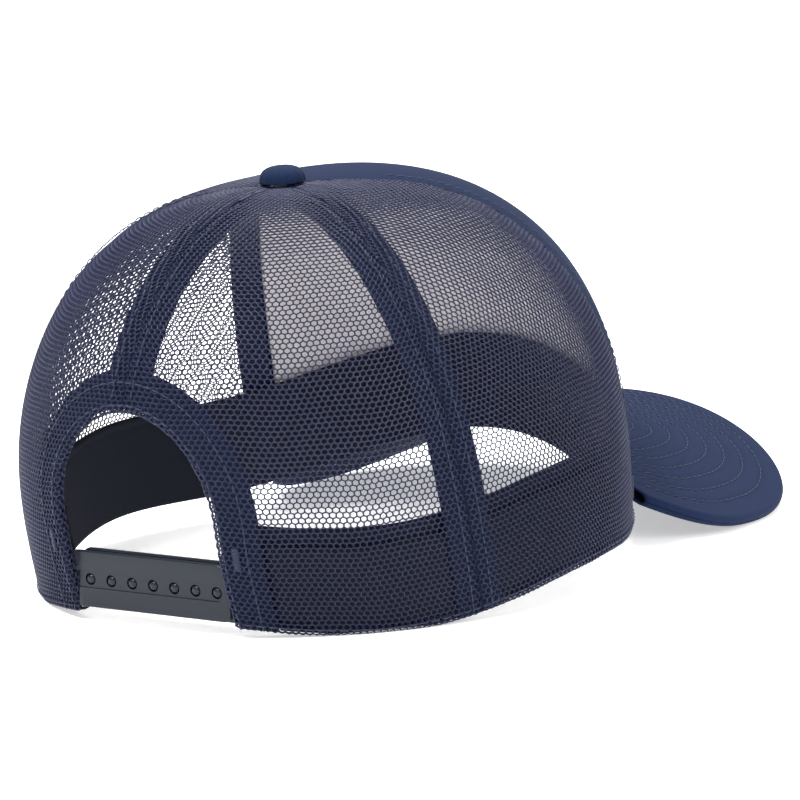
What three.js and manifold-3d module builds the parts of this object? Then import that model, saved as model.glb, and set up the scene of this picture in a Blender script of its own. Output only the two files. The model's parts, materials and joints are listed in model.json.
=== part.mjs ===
// A five-panel trucker cap: one woven front panel, four honeycomb-mesh panels, a curved brim, a top
// button and a plastic snap strap across the arched opening at the back. Millimetres, +Z up. The brim
// points to -Y, the wearer's right is -X. The cap rests on the back of its hem and the two low corners
// of its brim.
import * as THREE from "three";
import { mergeVertices } from "three/addons/utils/BufferGeometryUtils.js";
import Module from "manifold-3d";

const wasm = await Module();
wasm.setup();

// ---- Driving dimensions -------------------------------------------------------------------------

// Crown plan at the hem: half width, and lengths from the middle to the back and to the front.
const HALF_WIDTH = 86.7;
const BACK_LENGTH = 95.9;
const FRONT_LENGTH = 96.3;
const BACK_ROUNDNESS = 1.9;
const FRONT_ROUNDNESS = 2.0;

// Crown profile: height of the pole, how squarely each side shoulders over, how far each side bellies out.
const CROWN_HEIGHT = 108.4;
const POLE_SHIFT = 12.3;
const SHOULDER = { back: 2.54, side: 2.44, front: 3.25 };
const BELLY = { back: 0.059, side: 0, front: 0.095 };

// The hem rises over the brim, drops at the sides and drops most at the four corners between.
const HEM_FRONT_RISE = 9;
const HEM_SIDE_DROP = 2.9;
const HEM_CORNER_DROP = 5.8;

// Seams, as angles round the crown from the centre back.
const SIDE_SEAM = 62;
const FRONT_SEAM = 133;
const FULL_TURN = 360;

// Layers of the crown, each as [outer face, inner face] measured outward from the mesh's outer face.
const GAP = 0.3;
const MESH_LAYER = [0, -1];
const FRONT_LAYER = [0.1, -0.8];
const TAPE_LAYER = [-1.3, -2];
const BACKING_LAYER = [-1.3, -3.6];
const OUTER_TAB_LAYER = [-2.3, -3.1];
const INNER_TAB_LAYER = [-3.4, -4.2];
const LINING_LAYER = [-2.3, -4.2];
const SWEATBAND_LAYER = [-4.5, -5.5];

const BACK_TAPE_WIDTH = 15;
const FRONT_TAPE_WIDTH = 10;
const SWEATBAND_HEIGHT = 31;
const SWEATBAND_SET_BACK = 2;
const LINING_HEIGHT = 26;
const TOP_HOLE_RADIUS = 5;
const TAPE_TOP_RADIUS = 18;
const TAPE_CLEARANCE = 2;

// Arched opening at the back.
const OPENING_HALF_WIDTH = 27;
const OPENING_HEIGHT = 60.5;
const OPENING_STRAIGHT_HEIGHT = 27;
const OPENING_TAPE_WIDTH = 8.5;

// Brim: a stiff board between two cloth covers, bent to a cylinder and sloping down to the front.
const BRIM_HALF_WIDTH = 84;
const BRIM_WIDEST_Y = -104;
const BRIM_REACH = 72;
const BRIM_BACK_REACH = 55;
const BRIM_SQUARENESS = 2.4;
const BRIM_BEND_RADIUS = 125;
const BRIM_SLOPE = 0.14;
const BRIM_ROOT_HEIGHT = 12;
const BRIM_END_ANGLE = 128;
const BRIM_ROOT_ANGLE = 43;
const BRIM_ROOT_CLEARANCE = 1;
const BRIM_STATIONS = [0, 0.34, 0.67, 1];
const BOARD_HALF_THICKNESS = 1;
const COVER_THICKNESS = 0.7;

// Snap strap: two plastic bands, holes in the outer and posts on the inner.
const STRAP_HEIGHT = 16.5;
const INNER_STRAP_HEIGHT = 17.5;
const STRAP_MIDDLE_Z = 8.3;
const OUTER_STRAP_THICKNESS = 1.5;
const INNER_STRAP_THICKNESS = 1.2;
const STRAP_ROOT_X = 26.2;
const HINGE_X = STRAP_ROOT_X - 0.9;
const STRAP_END_GAP = 0.9;
const SNAP_COUNT = 7;
const SNAP_PITCH = 7.3;
const FIRST_SNAP_X = 22;
const HOLE_RADIUS = 1.75;
const POST_RADIUS = 1.15;
const CHANNEL_HALF_HEIGHT = 2.5;
const CHANNEL_DEPTH = 0.3;
const TAB_LENGTH = 9;
const OUTER_CORNER_RADIUS = 4.5;
const CORNER_RADIUS = 2.5;

// Button: a cloth-covered dome over a shell, held by a rivet through the crown.
const BUTTON_RADIUS = 6.8;
const BUTTON_HEIGHT = 4.8;
const BUTTON_BOTTOM = 0.4;
const BUTTON_COVER_THICKNESS = 0.7;
const SHELL_THICKNESS = 0.5;
const RIVET_SHANK_RADIUS = 1.6;
const RIVET_TOP = 2.6;
const RIVET_HEAD_RADIUS = 6.6;
const RIVET_HEAD_Z = -1.6;
const RIVET_HEAD_THICKNESS = 0.7;

// The surface the cap rests on, in the crown's frame: its height at the middle and its tilt. Hem and brim
// are pressed flat where they would pass through it.
const REST_LEVEL = -11.2;
const REST_TILT = THREE.MathUtils.degToRad(4.3);

// Fineness of the curved sheets.
const DEGREES_PER_COLUMN = 7;
const LOW_ROW_HEIGHT = 10;
const LOW_ROWS = 3;
const HIGH_ROWS = 8;
const BRIM_COLUMNS = 34;

// ---- Materials ----------------------------------------------------------------------------------

function matte(colour, roughness) {
  return new THREE.MeshStandardMaterial({ color: colour, roughness, metalness: 0 });
}

function metal(colour) {
  return new THREE.MeshStandardMaterial({ color: colour, roughness: 0.4, metalness: 0.9 });
}

const NAVY_CLOTH = 0x2c3a5c;
const NAVY_MESH = 0x27304a;
const NAVY_TAPE = 0x1c2238;
const SWEATBAND_BLACK = 0x14161f;
const BACKING_GREY = 0xb9b4b6;
const STRAP_SLATE = 0x2f3848;
const BOARD_WHITE = 0xd8d8d4;
const BUTTON_STEEL = 0x9a9c9f;

// ---- Solids from grids of points ----------------------------------------------------------------

function signedVolume(geometry) {
  const point = geometry.attributes.position;
  const index = geometry.index;
  const corners = [new THREE.Vector3(), new THREE.Vector3(), new THREE.Vector3()];
  let volume = 0;
  for (let i = 0; i < index.count; i += 3) {
    corners.forEach((corner, k) => corner.fromBufferAttribute(point, index.getX(i + k)));
    volume += corners[0].dot(corners[1].cross(corners[2])) / 6;
  }
  return volume;
}

function faceOutward(geometry) {
  if (signedVolume(geometry) < 0) {
    geometry.setIndex(Array.from(geometry.index.array).reverse());
  }
  return geometry;
}

// A closed sheet between two grids of points, top[row][column] and under[row][column].
function thickSheet(top, under) {
  const rows = top.length;
  const columns = top[0].length;
  const positions = [...top.flat(), ...under.flat()].flatMap((p) => [p.x, p.y, p.z]);
  const upper = (r, c) => r * columns + c;
  const lower = (r, c) => rows * columns + r * columns + c;
  const faces = [];
  const quad = (a, b, c, d) => faces.push(a, b, c, a, c, d);
  for (let r = 0; r < rows - 1; r += 1) {
    for (let c = 0; c < columns - 1; c += 1) {
      quad(upper(r, c), upper(r, c + 1), upper(r + 1, c + 1), upper(r + 1, c));
      quad(lower(r + 1, c), lower(r + 1, c + 1), lower(r, c + 1), lower(r, c));
    }
    quad(upper(r + 1, 0), lower(r + 1, 0), lower(r, 0), upper(r, 0));
    const last = columns - 1;
    quad(upper(r, last), lower(r, last), lower(r + 1, last), upper(r + 1, last));
  }
  for (let c = 0; c < columns - 1; c += 1) {
    quad(upper(0, c), lower(0, c), lower(0, c + 1), upper(0, c + 1));
    quad(upper(rows - 1, c + 1), lower(rows - 1, c + 1), lower(rows - 1, c), upper(rows - 1, c));
  }
  const geometry = new THREE.BufferGeometry();
  geometry.setAttribute("position", new THREE.Float32BufferAttribute(positions, 3));
  geometry.setIndex(faces);
  return faceOutward(geometry);
}

function toManifold(source) {
  const geometry = source.clone();
  geometry.deleteAttribute("normal");
  geometry.deleteAttribute("uv");
  const welded = mergeVertices(geometry, 1e-4);
  return new wasm.Manifold(
    new wasm.Mesh({
      numProp: 3,
      vertProperties: new Float32Array(welded.attributes.position.array),
      triVerts: new Uint32Array(welded.index.array),
    }),
  );
}

function fromManifold(solid) {
  const mesh = solid.getMesh();
  const geometry = new THREE.BufferGeometry();
  geometry.setAttribute("position", new THREE.Float32BufferAttribute(mesh.vertProperties, 3));
  geometry.setIndex(Array.from(mesh.triVerts));
  return geometry;
}

function piece(name, geometry, material) {
  geometry.computeVertexNormals();
  const mesh = new THREE.Mesh(geometry, material);
  mesh.name = name;
  return mesh;
}

// ---- The crown's surface ------------------------------------------------------------------------

const radians = THREE.MathUtils.degToRad;

// Plan radius of the hem at an angle from the centre back.
function hemRadius(angle) {
  const side = Math.abs(Math.sin(radians(angle)));
  const along = Math.cos(radians(angle));
  const length = along > 0 ? BACK_LENGTH : FRONT_LENGTH;
  const power = along > 0 ? BACK_ROUNDNESS : FRONT_ROUNDNESS;
  return ((side / HALF_WIDTH) ** power + (Math.abs(along) / length) ** power) ** (-1 / power);
}

function hemHeight(angle) {
  const side = Math.sin(radians(angle));
  const front = Math.max(-Math.cos(radians(angle)), 0);
  const corner = Math.sin(radians(2 * angle));
  return HEM_FRONT_RISE * front ** 3 - HEM_SIDE_DROP * side ** 2 - HEM_CORNER_DROP * corner ** 2;
}

// A value that changes smoothly from the back of the crown over its sides to its front.
function roundTheCrown(angle, values) {
  const along = Math.cos(radians(angle));
  const back = Math.max(along, 0) ** 2;
  const front = Math.max(-along, 0) ** 2;
  return back * values.back + front * values.front + (1 - back - front) * values.side;
}

// The profile is a superellipse, run through by a turn that is 0 at the hem and a quarter circle at
// the pole.
function turnAtRise(angle, rise) {
  const share = rise / (CROWN_HEIGHT - hemHeight(angle));
  return Math.asin(share ** (roundTheCrown(angle, SHOULDER) / 2));
}

function turnAtRadius(angle, radius) {
  return Math.acos((radius / hemRadius(angle)) ** (roundTheCrown(angle, SHOULDER) / 2));
}

// Rows are shared by all layers, so that their facets run parallel: whole low rows above the hem, then
// equal turns up to the hole under the button.
function turnAtRow(angle, row) {
  if (row <= LOW_ROWS) {
    return turnAtRise(angle, row * LOW_ROW_HEIGHT);
  }
  const low = turnAtRise(angle, LOW_ROWS * LOW_ROW_HEIGHT);
  const high = turnAtRadius(angle, TOP_HOLE_RADIUS);
  return THREE.MathUtils.lerp(low, high, (row - LOW_ROWS) / HIGH_ROWS);
}

function rowAtTurn(angle, turn) {
  const low = turnAtRise(angle, LOW_ROWS * LOW_ROW_HEIGHT);
  const high = turnAtRadius(angle, TOP_HOLE_RADIUS);
  return LOW_ROWS + (HIGH_ROWS * (turn - low)) / (high - low);
}

function surfacePoint(angle, row) {
  const turn = turnAtRow(angle, row);
  const power = 2 / roundTheCrown(angle, SHOULDER);
  const inward = Math.cos(turn) ** power;
  const rise = Math.sin(turn) ** power;
  const belly = 1 + roundTheCrown(angle, BELLY) * Math.sin(Math.PI * rise);
  const radius = hemRadius(angle) * inward * belly;
  const hem = hemHeight(angle);
  return new THREE.Vector3(
    -radius * Math.sin(radians(angle)),
    radius * Math.cos(radians(angle)) + POLE_SHIFT * rise,
    hem + (CROWN_HEIGHT - hem) * rise,
  );
}

function surfaceNormal(angle, row) {
  const step = 0.02;
  const lower = Math.max(row - step, 0);
  const along = surfacePoint(angle + step, row).sub(surfacePoint(angle - step, row));
  const up = surfacePoint(angle, row + step).sub(surfacePoint(angle, lower));
  return along.cross(up).normalize();
}

// Presses a point up onto the surface the cap rests on.
function pressFlat(point) {
  point.z = Math.max(point.z, REST_LEVEL + point.y * Math.tan(REST_TILT));
  return point;
}

// Between whole rows a point lies on the straight line from one to the next, as every layer's facets do.
function layerPoint(angle, row, outward) {
  const below = Math.floor(row);
  if (row > below) {
    return layerPoint(angle, below, outward).lerp(layerPoint(angle, below + 1, outward), row - below);
  }
  return pressFlat(surfacePoint(angle, row).addScaledVector(surfaceNormal(angle, row), outward));
}

// Angle, near the centre back, at which a layer is this far from the middle plane at strap height.
function angleAtOffset(offset, outward) {
  const steps = 6;
  let angle = THREE.MathUtils.radToDeg(Math.asin(offset / BACK_LENGTH));
  for (let step = 0; step < steps; step += 1) {
    const missing = offset + layerPoint(angle, 1, outward).x;
    angle += THREE.MathUtils.radToDeg(missing / hemRadius(angle));
  }
  return angle;
}

// Angle taken up by a length across the crown at one row.
function angleOfLength(angle, row, length) {
  const point = surfacePoint(angle, row);
  const radius = Math.hypot(point.x, point.y - POLE_SHIFT);
  return THREE.MathUtils.radToDeg(Math.asin(Math.min(length / radius, 1)));
}

// A patch of one crown layer between two angles, kept clear of each by an inset length.
function crownPatch(layer, from, to, fromInset, toInset, rows) {
  const columns = Math.max(2, Math.ceil((to - from) / DEGREES_PER_COLUMN));
  const grid = (outward) =>
    rows.map((row) => {
      const start = from + angleOfLength(from, row, fromInset);
      const end = to - angleOfLength(to, row, toInset);
      return Array.from({ length: columns + 1 }, (_, c) =>
        layerPoint(THREE.MathUtils.lerp(start, end, c / columns), row, outward),
      );
    });
  return thickSheet(grid(layer[0]), grid(layer[1]));
}

// Whole rows between two heights in rows, with the two ends themselves.
function rowsBetween(first, last) {
  const margin = 0.2;
  const rows = [first];
  for (let row = Math.floor(first) + 1; row < last - margin; row += 1) {
    if (row > first + margin) {
      rows.push(row);
    }
  }
  return [...rows, last];
}

const ALL_ROWS = rowsBetween(0, LOW_ROWS + HIGH_ROWS);

// ---- Opening at the back ------------------------------------------------------------------------

// An upright arch, widened all round by a margin: straight sides, then half an ellipse.
function archShape(margin) {
  const halfWidth = OPENING_HALF_WIDTH + margin;
  const archHeight = OPENING_HEIGHT - OPENING_STRAIGHT_HEIGHT + margin;
  const below = -30;
  const shape = new THREE.Shape();
  shape.moveTo(-halfWidth, below);
  shape.lineTo(halfWidth, below);
  shape.absellipse(0, OPENING_STRAIGHT_HEIGHT, halfWidth, archHeight, 0, Math.PI, false);
  return shape;
}

// The arch run through the back wall only, from inside the crown to well behind it.
function archBlock(margin) {
  const frontY = 40;
  const backY = 130;
  const geometry = new THREE.ExtrudeGeometry(archShape(margin), {
    depth: backY - frontY,
    bevelEnabled: false,
    curveSegments: 14,
  });
  geometry.rotateX(Math.PI / 2);
  geometry.translate(0, backY, 0);
  return toManifold(geometry);
}

const openingBlock = archBlock(0);

// ---- Crown --------------------------------------------------------------------------------------

const halfSeam = GAP / 2;
const farFrontSeam = FULL_TURN - FRONT_SEAM;

function meshPanel(name, from, to) {
  const sheet = crownPatch(MESH_LAYER, from, to, halfSeam, halfSeam, ALL_ROWS);
  return piece(name, sheet, matte(NAVY_MESH, 0.85));
}

function backMeshPanel(name, from, to) {
  const sheet = crownPatch(MESH_LAYER, from, to, halfSeam, halfSeam, ALL_ROWS);
  const cut = toManifold(sheet).subtract(openingBlock);
  return piece(name, fromManifold(cut), matte(NAVY_MESH, 0.85));
}

function frontPanel() {
  const sheet = crownPatch(FRONT_LAYER, FRONT_SEAM, farFrontSeam, halfSeam, halfSeam, ALL_ROWS);
  return piece("front_panel", sheet, matte(NAVY_CLOTH, 0.9));
}

function frontBacking() {
  const inset = FRONT_TAPE_WIDTH / 2 + GAP;
  const topRow = rowAtTurn(FULL_TURN / 2, turnAtRadius(FULL_TURN / 2, TAPE_TOP_RADIUS));
  const rows = rowsBetween(0, topRow);
  const sheet = crownPatch(BACKING_LAYER, FRONT_SEAM, farFrontSeam, inset, inset, rows);
  return piece("front_backing", sheet, matte(BACKING_GREY, 0.95));
}

function seamTape(name, angle, width, firstRow) {
  const topRow = rowAtTurn(angle, turnAtRadius(angle, TAPE_TOP_RADIUS));
  const rows = rowsBetween(firstRow, topRow);
  const grid = (outward) =>
    rows.map((row) => {
      const half = angleOfLength(angle, row, width / 2);
      return [-half, 0, half].map((turn) => layerPoint(angle + turn, row, outward));
    });
  return piece(name, thickSheet(grid(TAPE_LAYER[0]), grid(TAPE_LAYER[1])), matte(NAVY_TAPE, 0.9));
}

function openingTape() {
  const reach = angleAtOffset(OPENING_HALF_WIDTH + 2 * OPENING_TAPE_WIDTH, TAPE_LAYER[1]);
  const rowsAboveArch = 2;
  const rows = rowsBetween(0, LOW_ROWS + HIGH_ROWS - rowsAboveArch);
  const sheet = crownPatch(TAPE_LAYER, -reach, reach, 0, 0, rows);
  const band = archBlock(OPENING_TAPE_WIDTH).subtract(openingBlock);
  return piece("opening_tape", fromManifold(toManifold(sheet).intersect(band)), matte(NAVY_TAPE, 0.9));
}

function sweatband() {
  const start = angleAtOffset(OPENING_HALF_WIDTH + SWEATBAND_SET_BACK, SWEATBAND_LAYER[1]);
  const rows = rowsBetween(0, SWEATBAND_HEIGHT / LOW_ROW_HEIGHT);
  const sheet = crownPatch(SWEATBAND_LAYER, start, FULL_TURN - start, 0, 0, rows);
  return piece("sweatband", sheet, matte(SWEATBAND_BLACK, 0.85));
}

function sweatbandLining(name, side) {
  const start = angleAtOffset(OPENING_HALF_WIDTH + TAB_LENGTH + TAPE_CLEARANCE, LINING_LAYER[1]);
  const rows = rowsBetween(0, LINING_HEIGHT / LOW_ROW_HEIGHT);
  const inset = FRONT_TAPE_WIDTH / 2;
  const sheet =
    side > 0
      ? crownPatch(LINING_LAYER, start, FRONT_SEAM, 0, inset, rows)
      : crownPatch(LINING_LAYER, -FRONT_SEAM, -start, inset, 0, rows);
  return piece(name, sheet, matte(SWEATBAND_BLACK, 0.95));
}

// ---- Brim ---------------------------------------------------------------------------------------

function brimHeight(x, y) {
  return BRIM_ROOT_HEIGHT - x ** 2 / (2 * BRIM_BEND_RADIUS) + BRIM_SLOPE * (y + FRONT_LENGTH);
}

function brimPoint(plan, lift) {
  const normal = new THREE.Vector3(plan.x / BRIM_BEND_RADIUS, -BRIM_SLOPE, 1).normalize();
  const point = new THREE.Vector3(plan.x, plan.y, brimHeight(plan.x, plan.y));
  return pressFlat(point.addScaledVector(normal, lift));
}

const COVER_TOP = BOARD_HALF_THICKNESS + GAP + COVER_THICKNESS;

// Where the brim meets the crown, just clear of the front panel at the height of the top cover.
function brimRoot(share) {
  const angle = FULL_TURN / 2 - BRIM_ROOT_ANGLE * share;
  const foot = surfacePoint(angle, 0);
  const top = brimHeight(foot.x, foot.y) + COVER_TOP + BRIM_ROOT_CLEARANCE;
  const rise = Math.max(top - foot.z, 0);
  const wall = surfacePoint(angle, rise / LOW_ROW_HEIGHT);
  const clear = 1 + (FRONT_LAYER[0] + 2 * GAP) / Math.hypot(wall.x, wall.y);
  return new THREE.Vector2(wall.x * clear, wall.y * clear);
}

// Outer edge of the brim: a superellipse, with a shorter half behind its widest line.
function brimEdge(share) {
  const angle = radians(BRIM_END_ANGLE * share);
  const across = Math.abs(Math.sin(angle)) ** (2 / BRIM_SQUARENESS);
  const along = Math.abs(Math.cos(angle)) ** (2 / BRIM_SQUARENESS);
  const side = -Math.sign(Math.sin(angle));
  const reach = Math.cos(angle) > 0 ? BRIM_REACH : -BRIM_BACK_REACH;
  return new THREE.Vector2(side * BRIM_HALF_WIDTH * across, BRIM_WIDEST_Y - reach * along);
}

// A sheet of the brim. Each skin is a list of [share of the way out, inset from the edge, lift].
function brimSheet(topSkin, underSkin) {
  const shares = Array.from({ length: BRIM_COLUMNS + 1 }, (_, c) => (2 * c) / BRIM_COLUMNS - 1);
  const grid = (skin) =>
    skin.map(([out, inset, lift]) =>
      shares.map((share) => {
        const root = brimRoot(share);
        const edge = brimEdge(share);
        const width = root.distanceTo(edge);
        return brimPoint(root.clone().lerp(edge, out * (1 - inset / width)), lift);
      }),
    );
  return thickSheet(grid(topSkin), grid(underSkin));
}

// Stations across the brim, from the crown to the edge, at one lift.
function acrossBrim(inset, lift) {
  return BRIM_STATIONS.map((out) => [out, inset, lift]);
}

function brimBoard() {
  const inset = COVER_THICKNESS + GAP;
  const sheet = brimSheet(
    acrossBrim(inset, BOARD_HALF_THICKNESS),
    acrossBrim(inset, -BOARD_HALF_THICKNESS),
  );
  return piece("brim_board", sheet, matte(BOARD_WHITE, 0.5));
}

// A cloth cover whose rim folds over the edge of the board. side is 1 above the board and -1 below it.
function brimCover(name, side) {
  const outer = side * COVER_TOP;
  const inner = side * (COVER_TOP - COVER_THICKNESS);
  const rim = (side * GAP) / 2;
  const sheet = brimSheet(
    [...acrossBrim(0, outer), [1, 0, rim]],
    [...acrossBrim(COVER_THICKNESS, inner), [1, COVER_THICKNESS, rim]],
  );
  return piece(name, sheet, matte(NAVY_CLOTH, 0.9));
}

// ---- Button -------------------------------------------------------------------------------------

function turned(name, profile, material) {
  const points = profile.map(([radius, z]) => new THREE.Vector2(radius, z));
  const geometry = new THREE.LatheGeometry(points, 24);
  geometry.rotateX(Math.PI / 2);
  geometry.deleteAttribute("normal");
  geometry.deleteAttribute("uv");
  return piece(name, faceOutward(mergeVertices(geometry, 1e-4)), material);
}

// A flat-topped dome, shrunk inward from the button's outer face. The numbers are shares of its
// radius and height.
function domeProfile(shrink) {
  const radius = BUTTON_RADIUS - shrink;
  const top = BUTTON_HEIGHT - shrink;
  return [
    [0, top],
    [0.42 * radius, top],
    [0.74 * radius, 0.88 * top],
    [0.94 * radius, 0.6 * top],
    [radius, 0.28 * top],
    [0.97 * radius, BUTTON_BOTTOM],
  ];
}

function domeShell(shrink, thickness) {
  return [...domeProfile(shrink), ...domeProfile(shrink + thickness).reverse()];
}

function button() {
  const group = new THREE.Group();
  group.name = "button";
  group.position.set(0, POLE_SHIFT, CROWN_HEIGHT);
  const rivetBottom = RIVET_HEAD_Z - RIVET_HEAD_THICKNESS;
  const rivet = [
    [0, RIVET_TOP],
    [RIVET_SHANK_RADIUS, RIVET_TOP],
    [RIVET_SHANK_RADIUS, RIVET_HEAD_Z],
    [RIVET_HEAD_RADIUS, RIVET_HEAD_Z],
    [RIVET_HEAD_RADIUS, rivetBottom],
    [0, rivetBottom],
  ];
  const cover = domeShell(0, BUTTON_COVER_THICKNESS);
  const shell = domeShell(BUTTON_COVER_THICKNESS + GAP, SHELL_THICKNESS);
  group.add(
    turned("button_cover", cover, matte(NAVY_CLOTH, 0.9)),
    turned("button_shell", shell, metal(BUTTON_STEEL)),
    turned("button_rivet", rivet, metal(BUTTON_STEEL)),
  );
  return group;
}

// ---- Snap strap ---------------------------------------------------------------------------------

// The strap's sewn ends lie against the back wall, inside the opening's tape. The bands run straight
// between them, and each bends on an axis just inside its root, halfway through its thickness.
const wallAtRoot = layerPoint(angleAtOffset(STRAP_ROOT_X, TAPE_LAYER[1]), 1, TAPE_LAYER[1]);
const OUTER_BAND_FACE_Y = wallAtRoot.y - GAP;
const OUTER_BAND_INNER_Y = OUTER_BAND_FACE_Y - OUTER_STRAP_THICKNESS;
const INNER_BAND_FACE_Y = OUTER_BAND_INNER_Y - GAP;

function snapPositions() {
  return Array.from({ length: SNAP_COUNT }, (_, k) => FIRST_SNAP_X - k * SNAP_PITCH);
}

// Outline of a band from its root to a rounded free end, in X and Z.
function bandShape(rootX, endX, height, topRadius, bottomRadius) {
  const toEnd = Math.sign(endX - rootX);
  const low = -height / 2;
  const high = height / 2;
  const shape = new THREE.Shape();
  shape.moveTo(rootX, high);
  shape.lineTo(rootX, low);
  shape.lineTo(endX - toEnd * bottomRadius, low);
  shape.quadraticCurveTo(endX, low, endX, low + bottomRadius);
  shape.lineTo(endX, high - topRadius);
  shape.quadraticCurveTo(endX, high, endX - toEnd * topRadius, high);
  return shape;
}

// A flat shape in X and Z, as thick as asked, with its outer face at y = 0.
function plate(shape, thickness) {
  const geometry = new THREE.ExtrudeGeometry(shape, {
    depth: thickness,
    bevelEnabled: false,
    curveSegments: 6,
  });
  geometry.rotateX(Math.PI / 2);
  return geometry;
}

// The shallow channel the holes sit in, open at the root and round at the free end.
function channelShape() {
  const endX = FIRST_SNAP_X - (SNAP_COUNT - 1) * SNAP_PITCH;
  const rootX = STRAP_ROOT_X + 1;
  const shape = new THREE.Shape();
  shape.moveTo(rootX, -CHANNEL_HALF_HEIGHT);
  shape.lineTo(rootX, CHANNEL_HALF_HEIGHT);
  shape.absarc(endX, 0, CHANNEL_HALF_HEIGHT, Math.PI / 2, -Math.PI / 2, false);
  return shape;
}

function roundHole(x) {
  const sides = 16;
  const rim = Array.from({ length: sides }, (_, k) => {
    const turn = (2 * Math.PI * k) / sides;
    return new THREE.Vector2(x + HOLE_RADIUS * Math.cos(turn), HOLE_RADIUS * Math.sin(turn));
  });
  return new THREE.Path().setFromPoints(rim);
}

function outerBand() {
  const endX = STRAP_END_GAP - OPENING_HALF_WIDTH;
  const shape = bandShape(STRAP_ROOT_X - GAP, endX, STRAP_HEIGHT, OUTER_CORNER_RADIUS, CORNER_RADIUS);
  for (const x of snapPositions()) {
    shape.holes.push(roundHole(x));
  }
  const channel = plate(channelShape(), 2 * CHANNEL_DEPTH);
  channel.translate(0, CHANNEL_DEPTH, 0);
  const solid = toManifold(plate(shape, OUTER_STRAP_THICKNESS)).subtract(toManifold(channel));
  const geometry = fromManifold(solid);
  geometry.translate(-HINGE_X, OUTER_STRAP_THICKNESS / 2, 0);
  const band = piece("strap_outer", geometry, matte(STRAP_SLATE, 0.45));
  band.position.set(HINGE_X, (OUTER_BAND_FACE_Y + OUTER_BAND_INNER_Y) / 2, STRAP_MIDDLE_Z);
  return band;
}

// A round post with a domed tip, standing out of the inner band's face along +Y.
function post(x) {
  const proud = 0.1;
  const height = GAP + OUTER_STRAP_THICKNESS + proud;
  const root = -INNER_STRAP_THICKNESS / 2;
  const domeHeight = 0.6;
  const profile = [
    [0, root],
    [POST_RADIUS, root],
    [POST_RADIUS, height - domeHeight],
    [0.6 * POST_RADIUS, height - 0.25 * domeHeight],
    [0, height],
  ].map(([radius, along]) => new THREE.Vector2(radius, along));
  const geometry = new THREE.LatheGeometry(profile, 12);
  geometry.translate(x, 0, 0);
  return toManifold(geometry);
}

function innerBand() {
  const endX = OPENING_HALF_WIDTH - 2;
  const rootX = GAP - STRAP_ROOT_X;
  const shape = bandShape(rootX, endX, INNER_STRAP_HEIGHT, CORNER_RADIUS, CORNER_RADIUS);
  let solid = toManifold(plate(shape, INNER_STRAP_THICKNESS));
  for (const x of snapPositions()) {
    solid = solid.add(post(x));
  }
  const geometry = fromManifold(solid);
  geometry.translate(HINGE_X, INNER_STRAP_THICKNESS / 2, 0);
  const band = piece("strap_inner", geometry, matte(STRAP_SLATE, 0.45));
  band.position.set(-HINGE_X, INNER_BAND_FACE_Y - INNER_STRAP_THICKNESS / 2, STRAP_MIDDLE_Z);
  return band;
}

// The sewn end of a band, flat against the wall beside the opening. side is 1 at the wearer's right.
function strapTab(name, side, layer) {
  const near = side * angleAtOffset(STRAP_ROOT_X + GAP, layer[1]);
  const far = side * angleAtOffset(STRAP_ROOT_X + TAB_LENGTH, layer[1]);
  const middle = surfacePoint(near, 1);
  const half = STRAP_HEIGHT / 2 - 0.5;
  const [low, high] = [-half, half].map((z) => 1 + (STRAP_MIDDLE_Z + z - middle.z) / LOW_ROW_HEIGHT);
  const rows = rowsBetween(low, high);
  const sheet = crownPatch(layer, Math.min(near, far), Math.max(near, far), 0, 0, rows);
  return piece(name, sheet, matte(STRAP_SLATE, 0.5));
}

// ---- Assembly -----------------------------------------------------------------------------------

function group(name, ...children) {
  const made = new THREE.Group();
  made.name = name;
  made.add(...children);
  return made;
}

// The back tape starts just above the tape round the opening.
const backTapeHeight = OPENING_HEIGHT + OPENING_TAPE_WIDTH + TAPE_CLEARANCE;
const backTapeRow = rowAtTurn(0, turnAtRise(0, backTapeHeight));

const crown = group(
  "crown",
  frontPanel(),
  frontBacking(),
  meshPanel("mesh_side_right", SIDE_SEAM, FRONT_SEAM),
  meshPanel("mesh_side_left", -FRONT_SEAM, -SIDE_SEAM),
  backMeshPanel("mesh_back_right", 0, SIDE_SEAM),
  backMeshPanel("mesh_back_left", -SIDE_SEAM, 0),
  seamTape("tape_back", 0, BACK_TAPE_WIDTH, backTapeRow),
  seamTape("tape_side_right", SIDE_SEAM, BACK_TAPE_WIDTH, 0),
  seamTape("tape_side_left", -SIDE_SEAM, BACK_TAPE_WIDTH, 0),
  seamTape("tape_front_right", FRONT_SEAM, FRONT_TAPE_WIDTH, 0),
  seamTape("tape_front_left", -FRONT_SEAM, FRONT_TAPE_WIDTH, 0),
  openingTape(),
  sweatband(),
  sweatbandLining("sweatband_lining_right", 1),
  sweatbandLining("sweatband_lining_left", -1),
);

const brim = group(
  "brim",
  brimBoard(),
  brimCover("brim_top_cover", 1),
  brimCover("brim_under_cover", -1),
);

const closure = group(
  "closure",
  strapTab("strap_outer_tab", -1, OUTER_TAB_LAYER),
  strapTab("strap_inner_tab", 1, INNER_TAB_LAYER),
  outerBand(),
  innerBand(),
);

// Stands the cap on the surface it rests on, with the middle of its footprint at the origin.
const cap = group("trucker_cap", crown, brim, button(), closure);
cap.rotation.x = -REST_TILT;
cap.updateMatrixWorld(true);
const footprint = new THREE.Box3().setFromObject(cap, true);
const middle = footprint.getCenter(new THREE.Vector3());
cap.position.set(-middle.x, -middle.y, -footprint.min.z);

export default cap;
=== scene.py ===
"""Looks for a trucker cap: honeycomb-mesh crown, twill front and brim, sweatband and snap strap.

Everything follows the CAD crown: a superellipse plan at the hem, closed to a pole by superellipse
profiles. Lengths named in millimetres are turned into metres by MM, in the row frame.
"""

import json
import math

import bmesh
import bpy
import numpy as np
from mathutils import Matrix, Vector

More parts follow.
